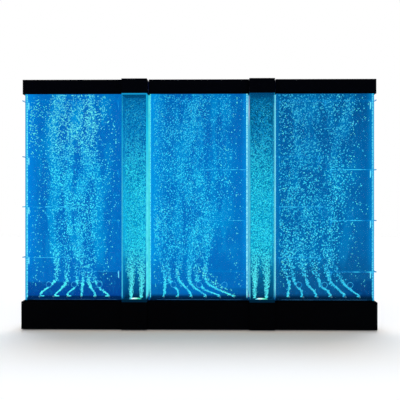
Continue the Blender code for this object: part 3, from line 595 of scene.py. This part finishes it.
def columnTubeLook(name):
    low, high = columnBox[name]
    look = litLook("columnTube_" + name, 0.04, 0.0)
    x, _, z = look.xyz()
    west = look.step(x, *[low.x + reach for reach in tube["west"]])
    foot = look.step(z, *[low.z + reach for reach in tube["foot"]])
    east = before(look, x, high.x, tube["east"])
    lip, head, fade, down = [
        before(look, z, high.z, tube[part]) for part in ("lip", "head", "fade", "down")
    ]
    lipShare, eastShare = tube[name]
    wavy = look.noise(30.0, 3.0, (0.2, 0.2, 1.0))
    rim = west * (fade * 0.50 + 0.05) + east * (fade * 0.35 + 0.65) * eastShare
    rim = rim.upTo(1.0) * look.step(z, low.z + 0.01, low.z + 0.06)
    bright = look.blend(down, screen(30, 200, 235), screen(110, 255, 250))
    glow = look.blend(rim, screen(2, 92, 150), look.blend(wavy, screen(20, 180, 225), bright))
    lipGlow = look.blend(wavy, screen(0, 130, 190), screen(30, 165, 215))
    glow = look.blend(lip * lipShare, glow, lipGlow)
    alpha = rim + lip * 0.9 * lipShare + head * 0.25 + foot * 0.95 + 0.05 + wavy * 0.04
    return look.feed(
        Base_Color=look.blend(rim, (0.0, 0.02, 0.04), (0.0, 0.05, 0.08)),
        Emission_Color=look.blend(foot, glow, screen(0, 14, 34)),
        Alpha=alpha.upTo(1.0),
    )


def linerLook(name):
    low, high = columnBox[name]
    look = litLook("columnLiner_" + name, 0.40, 0.04)
    _, _, z = look.xyz()
    wide = look.noise(4.0, 3.0)
    mottle = look.noise(42.0, 5.0, (1, 1, 0.7), 0.6)
    grain = look.noise(82.0, 2.0, (1, 0.3, 1))
    rise = (z - low.z) / (high.z - low.z) + (wide - 0.5) * 0.06
    heights = (0.0, 0.012, 0.03, 0.16, 0.31, 0.50, 0.74, 1.0)
    glow = [screen(*colour) for colour in (columnGlow["foot"], *columnGlow[name])]
    foot, above, lower, middle, upper, top = glow
    colours = (foot, foot, above, lower, middle, middle, upper, top)
    shade = look.ramp(rise, *zip(heights, colours))
    # painted light and shade in the liner's glow: paler mottling, darker specks and bright sparks
    # where the grain noise falls
    dark = look.add("ShaderNodeVectorMath", {0: shade, "Scale": 0.50}, operation="SCALE")
    pale = look.step(mottle, 0.45, 0.75) * look.step(rise, 0.12, 0.30) * 0.30
    shade = look.blend(pale, shade, screen(0, 172, 220))
    shade = look.blend(look.step(grain, 0.50, 0.32) * 0.75, shade, dark)
    spark = look.step(grain, 0.52, 0.66) * look.step(rise, 1.20, 0.40)
    spark = spark * look.step(rise, 0.14, 0.30)
    return look.feed(
        Base_Color=look.blend(wide, (0.0, 0.01, 0.03), (0.0, 0.02, 0.05)),
        Emission_Color=look.blend(spark, shade, screen(56, 232, 255)),
    )


def prismFaces(start, count, ends):
    # sides and ends of a prism whose two outlines follow each other from point start on
    faces = [(i, (i + 1) % count, (i + 1) % count + count, i + count) for i in range(count)]
    faces += ends + [tuple(i + count for i in reversed(end)) for end in ends]
    return [tuple(start + i for i in face) for face in faces]


def addSolid(name, points, faces, material):
    # a closed mesh that rides the wall
    mesh = bpy.data.meshes.new(name)
    mesh.from_pydata(points, [], faces)
    mesh.materials.append(material)
    tidy = bmesh.new()
    tidy.from_mesh(mesh)
    bmesh.ops.recalc_face_normals(tidy, faces=tidy.faces)
    tidy.to_mesh(mesh)
    tidy.free()
    piece = addObject(name, mesh)
    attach(piece, "wall")


def makeLiner(name):
    low, high = columnWaterBox[name]
    front = low.y + liner["front"]
    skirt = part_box("column_cap_" + name)[0].z - liner["skirtGap"]
    top = columnBox[name][1].z - liner["topGap"]
    points, faces = [], []
    spans = (
        (liner["inset"], liner["wall"], low.z, skirt),
        (liner["rimInset"], liner["rimWall"], skirt, top),
    )
    for inset, wall, bottom, lid in spans:
        west, east, back = low.x + inset, high.x - inset, high.y - inset
        # a U in plan: the back and both sides, open to the front
        outline = [
            (west, front), (west, back), (east, back), (east, front), (east - wall, front),
            (east - wall, back - wall), (west + wall, back - wall), (west + wall, front),
        ]
        ends = [(0, 7, 6, 1), (1, 6, 5, 2), (2, 5, 4, 3)]
        faces += prismFaces(len(points), len(outline), ends)
        points += [(x, y, z) for z in (bottom, lid) for x, y in outline]
    addSolid("columnLiner_" + name, points, faces, linerLook(name))


columnWater = waterLook("columnWater", screen(0, 130, 190), 0.06)
for name in columnNames:
    dress("column_tank_" + name, columnTubeLook(name))
    dress("column_water_" + name, columnWater)
    makeLiner(name)
print("columns dressed")


class Tree(Graph):
    # a Geometry Nodes tree with named inputs
    def __init__(self, name, **inputs):
        self.tree = bpy.data.node_groups.new(name, "GeometryNodeTree")
        face = self.tree.interface
        for way in ("OUTPUT", "INPUT"):
            face.new_socket("Geometry", in_out=way, socket_type="NodeSocketGeometry")
        kinds = {float: "NodeSocketFloat", int: "NodeSocketInt", tuple: "NodeSocketVector"}
        self.sockets = {}
        for title, value in inputs.items():
            socket = face.new_socket(title, in_out="INPUT", socket_type=kinds[type(value)])
            self.sockets[socket.identifier] = value
        self.start = self.tree.nodes.new("NodeGroupInput")
        self.end = self.tree.nodes.new("NodeGroupOutput")

    def given(self, title):
        return Val(self, self.start.outputs[title])

    def hold(self, value, low, high):
        return self.vector("MAXIMUM", self.vector("MINIMUM", value, high), low)

    def between(self, low, high, share):
        low, high = self.given(low), self.given(high)
        return self.maths("MULTIPLY_ADD", high - low, share, low)

    def drawVector(self, turn):
        # a random value for each point, from -1 to 1 on each axis
        ends = {0: (-1, -1, -1), 1: (1, 1, 1), "Seed": self.given("Seed") + turn}
        return self.add("FunctionNodeRandomValue", ends, data_type="FLOAT_VECTOR")

    def drawShare(self, turn):
        # a random share for each point, from 0 to 1
        ends = {2: 0.0, 3: 1.0, "Seed": self.given("Seed") + turn}
        return self.add("FunctionNodeRandomValue", ends, 1, data_type="FLOAT")

    def compare(self, first, test, second):
        pair = {0: first, 1: second}
        return self.add("FunctionNodeCompare", pair, data_type="FLOAT", operation=test)

    def drop(self, points, first, test, second):
        # takes out the points for which the test holds
        chosen = self.compare(first, test, second)
        return self.add("GeometryNodeDeleteGeometry", {0: points, "Selection": chosen})

    def bake(self, obj, geometry, material):
        whole = self.add("GeometryNodeRealizeInstances", {0: geometry})
        whole = self.add("GeometryNodeSetShadeSmooth", {0: whole})
        whole = self.add("GeometryNodeSetMaterial", {0: whole, "Material": material})
        self.tree.links.new(whole.socket, self.end.inputs[0])
        step = obj.modifiers.new(self.tree.name, "NODES")
        step.node_group = self.tree
        for identifier, value in self.sockets.items():
            step[identifier] = value
        graph = bpy.context.evaluated_depsgraph_get()
        mesh = bpy.data.meshes.new_from_object(obj.evaluated_get(graph))
        name = mesh.name = obj.name
        bpy.data.objects.remove(obj, do_unlink=True)
        return addObject(name, mesh)


def guideCurves(name, routes):
    # poly curves along which bubbles are strung
    curve = bpy.data.curves.new(name, "CURVE")
    curve.dimensions = "3D"
    for route in routes:
        spline = curve.splines.new("POLY")
        spline.points.add(len(route) - 1)
        for point, spot in zip(spline.points, route):
            point.co = (*spot, 1.0)
    return addObject(name, curve)


# each stream from its foot, round its bends and up to the surface, in picture points
panelStreams = {
    "left": (
        ((43.6, 297), (40.6, 295.8), (40.4, 294), (44, 290.5), (50, 286), (55, 281), (57, 270),
         (57, 250), (58, 215), (60, 185), (57, 150), (60, 120), (58, 95.4)),
        ((58.5, 297), (55, 295.6), (56, 293.4), (60, 290), (65, 285), (67, 278), (67, 262),
         (65, 240), (62, 215), (64, 190), (62, 160), (62, 130), (64, 95.4)),
        ((70.3, 297), (67.5, 295.5), (68.5, 292.5), (73, 289), (77, 284), (77, 277), (77, 260),
         (75, 235), (74, 205), (69, 180), (65, 150), (64, 120), (66, 95.4)),
        ((81.3, 297), (81.6, 293), (82, 288), (83, 280), (83, 265), (80, 245), (78, 210),
         (82, 180), (85, 150), (85, 120), (82, 95.4)),
        ((94, 297), (95.6, 296), (94.5, 292.5), (91, 288), (89, 282), (88, 274), (86, 255),
         (86, 230), (87, 205), (91, 175), (89, 150), (89, 120), (88, 95.4)),
        ((106, 297), (109.3, 296.2), (107, 293.5), (101, 289.5), (97, 284), (94, 278), (90, 266),
         (91, 250), (91, 230), (90, 200), (90, 175), (88, 150), (88, 120), (93, 95.4)),
    ),
    "centre": (
        ((163.4, 297), (164.5, 290), (165, 280), (163.5, 268), (160, 255), (158, 235), (154, 205),
         (153, 175), (153, 140), (155, 110), (156, 95.4)),
        ((177, 297), (178.4, 294), (177.5, 290), (172, 285), (169.5, 281), (169, 276), (168, 262),
         (171, 235), (169, 200), (170, 170), (169, 140), (168, 110), (170, 95.4)),
        ((190, 297), (191.4, 295.6), (190, 292), (184, 286), (179, 281), (177, 274), (180, 255),
         (182, 230), (184, 200), (183, 170), (182, 140), (182, 110), (184, 95.4)),
        ((204.5, 297), (205.5, 295), (201, 292), (195, 288), (190, 283), (189, 276), (191, 250),
         (196, 225), (197, 200), (195, 170), (195, 140), (194, 115), (194, 95.4)),
        ((218.5, 297), (219.5, 295.5), (213, 293), (205, 290), (200, 285), (197, 279), (196, 262),
         (201, 235), (203, 215), (203, 195), (201, 170), (201, 140), (199, 115), (200, 95.4)),
        ((232.6, 297), (233.5, 296), (226, 293), (217, 289), (208, 284), (205, 278), (205, 258),
         (210, 232), (215, 205), (220, 180), (221, 150), (220, 125), (228, 95.4)),
    ),
    "right": (
        ((288, 297), (288.5, 291), (289.5, 284), (287, 276), (284, 270), (284, 250), (285, 225),
         (288, 200), (284, 170), (281, 140), (281, 115), (282, 95.4)),
        ((301, 297), (302.3, 295), (301, 290), (296, 285), (293.5, 279), (291, 268), (290, 250),
         (293, 225), (296, 195), (294, 170), (291, 140), (294, 115), (294, 95.4)),
        ((315, 297), (316.4, 295), (313, 290), (307.5, 285), (306, 278), (302, 266), (301, 245),
         (303, 215), (305, 190), (303, 165), (300, 140), (300, 115), (306, 95.4)),
        ((329, 297), (330.5, 295), (327, 290.5), (320.5, 286), (319, 280), (314, 268), (312, 245),
         (313, 215), (315, 190), (316, 160), (314, 130), (320, 95.4)),
        ((343, 297), (344.2, 295), (339, 290), (332, 284), (328, 276), (325, 262), (327, 240),
         (331, 215), (331, 190), (330, 165), (332, 140), (334, 115), (334, 95.4)),
        ((357.5, 297), (359, 295.5), (352, 291), (345, 285), (338, 275), (334, 262), (333, 240),
         (336, 215), (341, 190), (339, 165), (343, 140), (347, 115), (350, 95.4)),
    ),
}
# a thin scatter of pale specks away from the streams, in picture points
speckRoutes = {
    "left": (
        ((36, 285), (38, 262), (34, 240), (32, 218), (45, 198), (46, 172), (34, 146), (32, 118),
         (36, 100)),
        ((27, 142), (30, 134), (28, 125), (32, 115), (40, 106)),
        ((106, 286), (108, 262), (110, 222), (108, 170), (112, 130), (106, 100)),
    ),
    "centre": (
        ((156, 286), (154, 250), (157, 205), (153, 160), (156, 100)),
        ((234, 296), (226, 291), (217, 284), (206, 275), (200, 266)),
        ((238, 286), (232, 255), (238, 210), (228, 160), (238, 100)),
    ),
    "right": (
        ((284, 286), (282, 250), (283, 205), (284, 160), (283, 100)),
        ((360, 286), (356, 255), (358, 210), (352, 160), (362, 100)),
    ),
}
# spreads and sizes in metres, with the height where a stream is widest; empty is the share
# that stays between the clumps
plainBubbles = {"spreadLow": 0.003, "spreadHigh": 0.092, "spreadTop": 0.95, "jitter": 0.030}
bubbles = {
    "left": dict(
        plainBubbles, perStream=1900, wide=2.2, smallest=0.0028, largest=0.0056,
        empty=0.30, seed=11,
    ),
    "centre": dict(
        plainBubbles, perStream=2150, wide=2.4, smallest=0.0025, largest=0.0052,
        spreadHigh=0.088, empty=0.50, seed=15,
    ),
    "right": dict(
        plainBubbles, perStream=1400, wide=2.4, smallest=0.0034, largest=0.0070,
        empty=0.42, seed=19,
    ),
}
specks = {
    "spreadLow": 0.045, "spreadHigh": 0.062, "spreadTop": 0.95, "jitter": 0.040, "wide": 1.0,
    "smallest": 0.0030, "largest": 0.0048, "empty": 1.0, "seed": 83,
}
specksPerStream = {"left": 150, "centre": 100, "right": 90}
columnBubbles = {
    "perStream": 3300, "spreadLow": 0.009, "spreadHigh": 0.100, "spreadTop": 0.85,
    "jitter": 0.020, "wide": 1.0, "smallest": 0.0022, "largest": 0.0046, "empty": 1.0, "seed": 47,
}
# the two feet in each column, from its middle, and the sway of a stream as it climbs
columnFeet = {"left": (-0.032, 0.046), "right": (-0.052, 0.038)}
columnClimb = (
    (0.0, 0.024), (-0.002, 0.060), (0.003, 0.16), (-0.003, 0.26), (0.002, 0.6), (-0.003, 1.0),
    (0.003, 1.4),
)
# how far bubbles stay from the sheets and the liner, and how high above the deck they start
room = {"gap": 0.0006, "liner": 0.006, "foot": 0.026, "columnFoot": 0.024, "surface": 0.014}
# how bubbles leave their stream: the power by which it widens, the share that stays close,
# and how far they go sideways; far is well outside the wall
flow = {"widening": 1.45, "close": 0.80, "across": 0.6, "far": 9.0}
# the colours of bubbles, as a screen shows them: bright ones at the foot, half way up and at
# the surface, then the dim ones and the rare brightest ones
bubbleTones = {
    "left": ((80, 248, 248), (62, 236, 248), (115, 255, 240), (0, 130, 214), (110, 252, 235)),
    "centre": ((60, 228, 246), (50, 224, 246), (50, 202, 236), (0, 126, 208), (110, 252, 235)),
    "right": ((52, 205, 238), (50, 206, 234), (50, 180, 218), (0, 106, 176), (110, 252, 235)),
    "column": ((92, 255, 255), (50, 242, 252), (6, 148, 214), (0, 108, 168), (90, 252, 245)),
    "speck": ((70, 246, 240), (70, 246, 240), (70, 246, 240), (20, 190, 225), (110, 255, 220)),
}
# spacer posts: a middle row and, on both sides of it, fewer; bubbles keep clear of them
posts = {
    "first": 0.119, "pitch": 0.183, "count": 8, "outward": 0.197, "outerPitch": 0.549,
    "outerCount": 3, "clear": 0.0225,
}


def bubbleLook(name, kind, share, footTop=0.13):
    # the brighter ones keep to patches, as light catches them
    foot, middle, top, dim, spark = [screen(*tone) for tone in bubbleTones[kind]]
    look = litLook(name, 0.12, 0.02)
    _, _, z = look.xyz()
    rise = look.step(z, deckTop, deckTop + 1.58)
    patch = look.step(look.noise(5.0, 3.0), 0.35, 0.65)
    near = look.step(z, deckTop + footTop * 1.6, deckTop + footTop)
    sway = look.step(look.noise(26.0, 2.0), 0.38, 0.62, 0.35, 0.90)
    each = look.step(look.noise(110.0, 1.0) + patch * 0.10, 0.48, 0.58).atLeast(near * sway)
    stops = ((0.0, foot), (0.05, foot), (0.17, middle), (0.70, middle), (0.92, top))
    shade = look.blend(each, dim, look.ramp(rise, *stops))
    rare = look.step(look.noise(83.0, 1.0) + patch * 0.04, share, share + 0.03)
    return look.feed(
        Base_Color=look.blend(each, (0.0, 0.01, 0.04), (0.01, 0.06, 0.10)),
        Emission_Color=look.blend(rare, shade, spark),
        Alpha=(0.55 + each * 0.45).upTo(1.0),
    )


def makeBubbles(name, routes, size, low, high, postSpots, material):
    holder = guideCurves(name, routes)
    marks = bpy.data.meshes.new(name + "Posts")
    marks.from_pydata(postSpots, [], [])
    marksObject = addObject(name + "Posts", marks)
    tree = Tree(
        name + "Tree", Count=size["perStream"], Seed=size["seed"], Foot=routes[0][0].z,
        SpreadLow=size["spreadLow"], SpreadHigh=size["spreadHigh"], SpreadTop=size["spreadTop"],
        Jitter=size["jitter"], Wide=size["wide"], Lowest=tuple(low), Highest=tuple(high),
        Smallest=size["smallest"], Largest=size["largest"], Empty=size["empty"],
        PostRadius=posts["clear"], ClumpFoot=deckTop + clumps["foot"],
    )
    start = {0: tree.given("Geometry"), "Count": tree.given("Count")}
    points = tree.add("GeometryNodeCurveToPoints", start, mode="COUNT")
    place = tree.add("GeometryNodeInputPosition")
    height = tree.split(place)[2]
    climb = tree.mapRange(height, tree.given("Foot"), tree.given("SpreadTop"))
    eased = tree.maths("POWER", climb, flow["widening"])
    reach = tree.between("SpreadLow", "SpreadHigh", eased)
    throws = [tree.drawVector(turn) for turn in range(3)]
    total = tree.vector("ADD", tree.vector("ADD", throws[0], throws[1]), throws[2])
    _, singleY, singleZ = tree.split(throws[0])
    # one in five strays further from its stream
    close = flow["close"]
    stray = tree.mapRange(tree.drawShare(5), close, close + 0.001, 1.0, tree.given("Wide"))
    across = tree.split(total)[0] * (reach * stray) * flow["across"]
    deep = singleY * (eased * ((high.y - low.y) / 2))
    along = singleZ * (tree.given("Jitter") * climb)
    offset = tree.add("ShaderNodeCombineXYZ", {0: across, 1: deep, 2: along})
    # held between the sheets and under the surface; what leaves the tank sideways goes
    lowest, highest = tree.given("Lowest"), tree.given("Highest")
    ceiling = tree.vector("ADD", highest, (flow["far"], 0, 0))
    ground = tree.vector("SUBTRACT", lowest, (flow["far"], 0, 0))
    moved = tree.hold(tree.vector("ADD", place, offset), ground, ceiling)
    points = tree.add("GeometryNodeSetPosition", {0: points, "Position": moved})
    outside = tree.vector("DISTANCE", place, tree.hold(place, lowest, highest), out=1)
    points = tree.drop(points, outside, "GREATER_THAN", 0.0001)
    # thinned out between the clumps, but not near the foot
    grouped = tree.vector("MULTIPLY", place, clumps["stretch"])
    crowding = {"Vector": grouped, "Scale": clumps["scale"], "Detail": clumps["detail"]}
    crowd = tree.add("ShaderNodeTexNoise", crowding)
    crowd = tree.mapRange(crowd, clumps["thin"], clumps["thick"], tree.given("Empty"))
    crowd = crowd.atLeast(tree.compare(height, "LESS_THAN", tree.given("ClumpFoot")))
    points = tree.drop(points, tree.drawShare(7), "GREATER_THAN", crowd)
    # and none in front of the spacer posts
    centres = tree.add("GeometryNodeObjectInfo", {0: marksObject}, out=4)
    nearest = {0: centres, "Sample Position": tree.vector("MULTIPLY", place, (1, 0, 1))}
    gap = tree.add("GeometryNodeProximity", nearest, 1, target_element="POINTS")
    points = tree.drop(points, gap, "LESS_THAN", tree.given("PostRadius"))
    ball = tree.add("GeometryNodeMeshIcoSphere", {"Radius": 1.0, "Subdivisions": 1})
    radius = tree.between("Smallest", "Largest", tree.maths("POWER", tree.drawShare(9), 2.0))
    balls = {"Points": points, "Instance": ball, "Scale": radius}
    piece = tree.bake(holder, tree.add("GeometryNodeInstanceOnPoints", balls), material)
    bpy.data.objects.remove(marksObject, do_unlink=True)
    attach(piece, "wall")


def postCentres(name):
    # the centres of the spacer posts, in the wall's own plane
    low, high = panelBox[name]
    middle = (low.x + high.x) / 2
    first = deckTop + posts["first"]
    spots = [(middle, 0, first + posts["pitch"] * step) for step in range(posts["count"])]
    for step in range(posts["outerCount"]):
        for side in (-1, 1):
            x = middle + side * posts["outward"]
            spots.append((x, 0, first + posts["outerPitch"] * step))
    return spots


speckLook = bubbleLook("specks", "speck", 0.46)
columnBubbleLook = bubbleLook("columnBubbles", "column", 0.66, 0.42)
for name in panelNames:
    low, high = waterBox[name]
    size = bubbles[name]
    look = bubbleLook("panelBubbles_" + name, name, 0.66)
    margin = size["largest"] + room["gap"]
    foot = deckTop + room["foot"] + size["smallest"]
    lowest = Vector((low.x + margin, low.y + margin, foot))
    highest = Vector((high.x - margin, high.y - margin, high.z + room["surface"]))
    speckSize = dict(specks, perStream=specksPerStream[name])
    batches = (
        ("bubbles_", panelStreams, -0.002, size, look),
        ("specks_", speckRoutes, -0.008, speckSize, speckLook),
    )
    for title, lines, depth, settings, material in batches:
        routes = [[onTank(px, py, depth) for px, py in line] for line in lines[name]]
        spots = postCentres(name)
        makeBubbles(title + name, routes, settings, lowest, highest, spots, material)
for name in columnNames:
    low, high = columnWaterBox[name]
    margin = columnBubbles["largest"] + room["gap"]
    wall = room["liner"]
    lowest = Vector((low.x + wall + margin, low.y + margin, deckTop + room["columnFoot"]))
    highest = Vector((high.x - wall - margin, high.y - wall - margin, high.z - margin))
    middle = (low.x + high.x) / 2
    depth = (low.y + high.y) / 2
    top = highest.z - columnBubbles["jitter"]
    routes = []
    for foot in columnFeet[name]:
        route = [Vector((middle + foot + x, depth, deckTop + z)) for x, z in columnClimb]
        routes.append(route + [Vector((middle + foot, depth, top))])
    # a column has no posts, so their only mark lies far below
    spots = [(0, 0, -flow["far"])]
    title = "columnBubbles_" + name
    makeBubbles(title, routes, columnBubbles, lowest, highest, spots, columnBubbleLook)
print("bubbles made")


# bright rims of the spacer posts
postRims = {
    "radius": 0.0206, "thickness": 0.0023, "gap": 0.0004, "steps": 28, "sides": 6,
    "bright": (0.30, 0.20),
}


def rimLook():
    look = litLook("postRim", 0.15, 0.08)
    _, _, z = look.xyz()
    turn = look.noise(60.0, 2.0)
    lit = look.step(turn, 0.35, 0.65)
    near = look.step(z, *[deckTop + height for height in postRims["bright"]])
    return look.feed(
        Base_Color=look.blend(turn, (0.0, 0.05, 0.10), (0.02, 0.10, 0.15)),
        Emission_Color=look.blend(lit, screen(10, 140, 228), screen(70, 210, 246)),
        Alpha=lit * 0.14 + 0.10 + near * 0.70,
    )


rimMaterial = rimLook()
for name in panelNames:
    y = waterBox[name][0].y + postRims["thickness"] + postRims["gap"]
    title = "postRims_" + name
    mesh = bpy.data.meshes.new(title)
    mesh.from_pydata([(x, y, z) for x, _, z in postCentres(name)], [], [])
    holder = addObject(title, mesh)
    tree = Tree(title, Radius=postRims["radius"], Thickness=postRims["thickness"])
    circle = "GeometryNodeCurvePrimitiveCircle"
    outline = {"Resolution": postRims["steps"], "Radius": tree.given("Radius")}
    section = {"Resolution": postRims["sides"], "Radius": tree.given("Thickness")}
    upright = {0: tree.add(circle, outline), "Rotation": (math.pi / 2, 0, 0)}
    ring = tree.add("GeometryNodeTransform", upright)
    ring = tree.add("GeometryNodeCurveToMesh", {0: ring, 1: tree.add(circle, section)})
    placed = tree.add("GeometryNodeMeshToPoints", {0: tree.given("Geometry")})
    made = tree.add("GeometryNodeInstanceOnPoints", {"Points": placed, "Instance": ring})
    piece = tree.bake(holder, made, rimMaterial)
    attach(piece, "wall")
print("post rims made")


# what closes the seams beside each column, glowing with painted light: the wider one,
# on the east, is dark between the caps with painted shade and lit below them with painted
# light, in the two colours given
seam = {
    "play": 0.0012, "front": -0.020, "back": 0.028, "topGap": 0.004,
    "left": (screen(20, 175, 205), screen(95, 245, 240)),
    "right": (screen(70, 230, 245), screen(170, 255, 255)),
}


def seamLook(name):
    look = litLook("seamStrip_" + name, 0.3, 0.0)
    x, _, z = look.xyz()
    wavy = look.noise(24.0, 3.0, (0.3, 0.3, 1.0))
    # painted shade between the caps, painted light below them
    lit = look.step(z, capFoot + 0.002, capFoot - 0.002)
    low = look.step(z, deckTop + 0.02, deckTop + 0.10)
    middle = (columnBox[name][0].x + columnBox[name][1].x) / 2
    westColour = look.blend(wavy, screen(0, 140, 200), screen(50, 205, 240))
    glow = look.blend(x > middle, westColour, look.blend(wavy, *seam[name]))
    glow = look.blend(low, screen(0, 70, 130), glow)
    return look.feed(
        Base_Color=look.blend(wavy, (0.0, 0.002, 0.012), (0.0, 0.004, 0.02)),
        Emission_Color=look.blend(lit, screen(0, 12, 52), glow),
    )


for index, name in enumerate(columnNames):
    westPanel, eastPanel = panelNames[index], panelNames[index + 1]
    play = seam["play"]
    foot, neck, top = deckTop + play, capFoot - play, capTop - seam["topGap"]
    west, east = columnBox[name][1].x + play, panelBox[eastPanel][0].x - play
    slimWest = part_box("column_cap_" + name)[1].x + play
    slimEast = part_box("panel_cap_" + eastPanel)[0].x - play
    wide = [
        (west, foot), (east, foot), (east, neck), (slimEast, neck), (slimEast, top),
        (slimWest, top), (slimWest, neck), (west, neck),
    ]
    west, east = panelBox[westPanel][1].x + play, columnBox[name][0].x - play
    chamfer = (east - west) / 4
    narrow = [
        (west, foot), (east, foot), (east, neck - chamfer), (east - chamfer, neck),
        (west + chamfer, neck), (west, neck - chamfer),
    ]
    points, faces = [], []
    for outline in (wide, narrow):
        faces += prismFaces(len(points), len(outline), [tuple(range(len(outline)))])
        points += [(x, y, z) for y in (seam["front"], seam["back"]) for x, z in outline]
    addSolid("seamStrip_" + name, points, faces, seamLook(name))
print("seam strips made")


stage = {
    "reach": 14.0, "floor": 0.90, "lift": 0.115, "sky": 0.40, "warmReach": 1.6,
    "warm": (1.0, 0.86, 0.73), "warmUnder": (0.25, 0.05), "warmSides": (1.55, 0.85),
}


def seenRay(graph):
    # 1 for what the camera sees straight, in a reflection or through a clear part
    seen = graph.add("ShaderNodeLightPath")
    for kind in ("Is Glossy Ray", "Is Transmission Ray"):
        seen = seen.atLeast(graph.add("ShaderNodeLightPath", out=kind))
    return seen


def stageLook():
    # a pale floor that runs into the white behind it; near the wall it is a touch warmer,
    # against the blue glow
    look = Look("paleFloor", Roughness=0.8, Specular_IOR_Level=0.0, Emission_Strength=1.0)
    x, y, _ = look.xyz()
    cloud = look.noise(1.2, 3.0)
    tone = (stage["floor"],) * 3
    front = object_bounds()[0][1]
    near = look.step(y, front - stage["warmReach"], front)
    near = near * look.step(y, *[front + depth for depth in stage["warmUnder"]])
    near = near * look.step(abs(x), *stage["warmSides"])
    plain = look.blend(cloud, scaled(tone, 0.99), tone)
    warm = tuple(stage["floor"] * part for part in stage["warm"])
    return look.feed(
        Base_Color=look.blend(near, plain, warm),
        Emission_Color=look.blend(seenRay(look), (0.0, 0.0, 0.0), (stage["lift"],) * 3),
    )


floorMesh = bpy.data.meshes.new("paleFloor")
reach = stage["reach"]
corners = [(-reach, -reach, 0), (reach, -reach, 0), (reach, reach, 0), (-reach, reach, 0)]
floorMesh.from_pydata(corners, [], [(0, 1, 2, 3)])
floorMesh.materials.append(stageLook())
floor = addObject("paleFloor", floorMesh)

world = bpy.data.worlds.new("studio")
world.use_nodes = True
bpy.context.scene.world = world
sky = Graph()
sky.tree = world.node_tree
background = sky.tree.nodes["Background"]
background.inputs["Color"].default_value = (1.0, 1.0, 1.0, 1.0)
level = sky.mapRange(seenRay(sky), 0.0, 1.0, stage["sky"])
sky.tree.links.new(level.socket, background.inputs["Strength"])

# wide soft light: most of it from above and a little behind, some from in front
lamps = {"top": ((0, 0.50, 1.0), 1.84, 36), "front": ((0, -1.0, 0.70), 0.55, 60)}
for name, (source, strength, spread) in lamps.items():
    data = bpy.data.lights.new(name + "Lamp", "SUN")
    data.energy = strength
    data.angle = math.radians(spread)
    lamp = addObject(name + "Lamp", data)
    lamp.rotation_euler = (-Vector(source)).to_track_quat("-Z", "Y").to_euler()

bpy.context.scene.view_settings.view_transform = "Standard"
print("stage and lamps set")
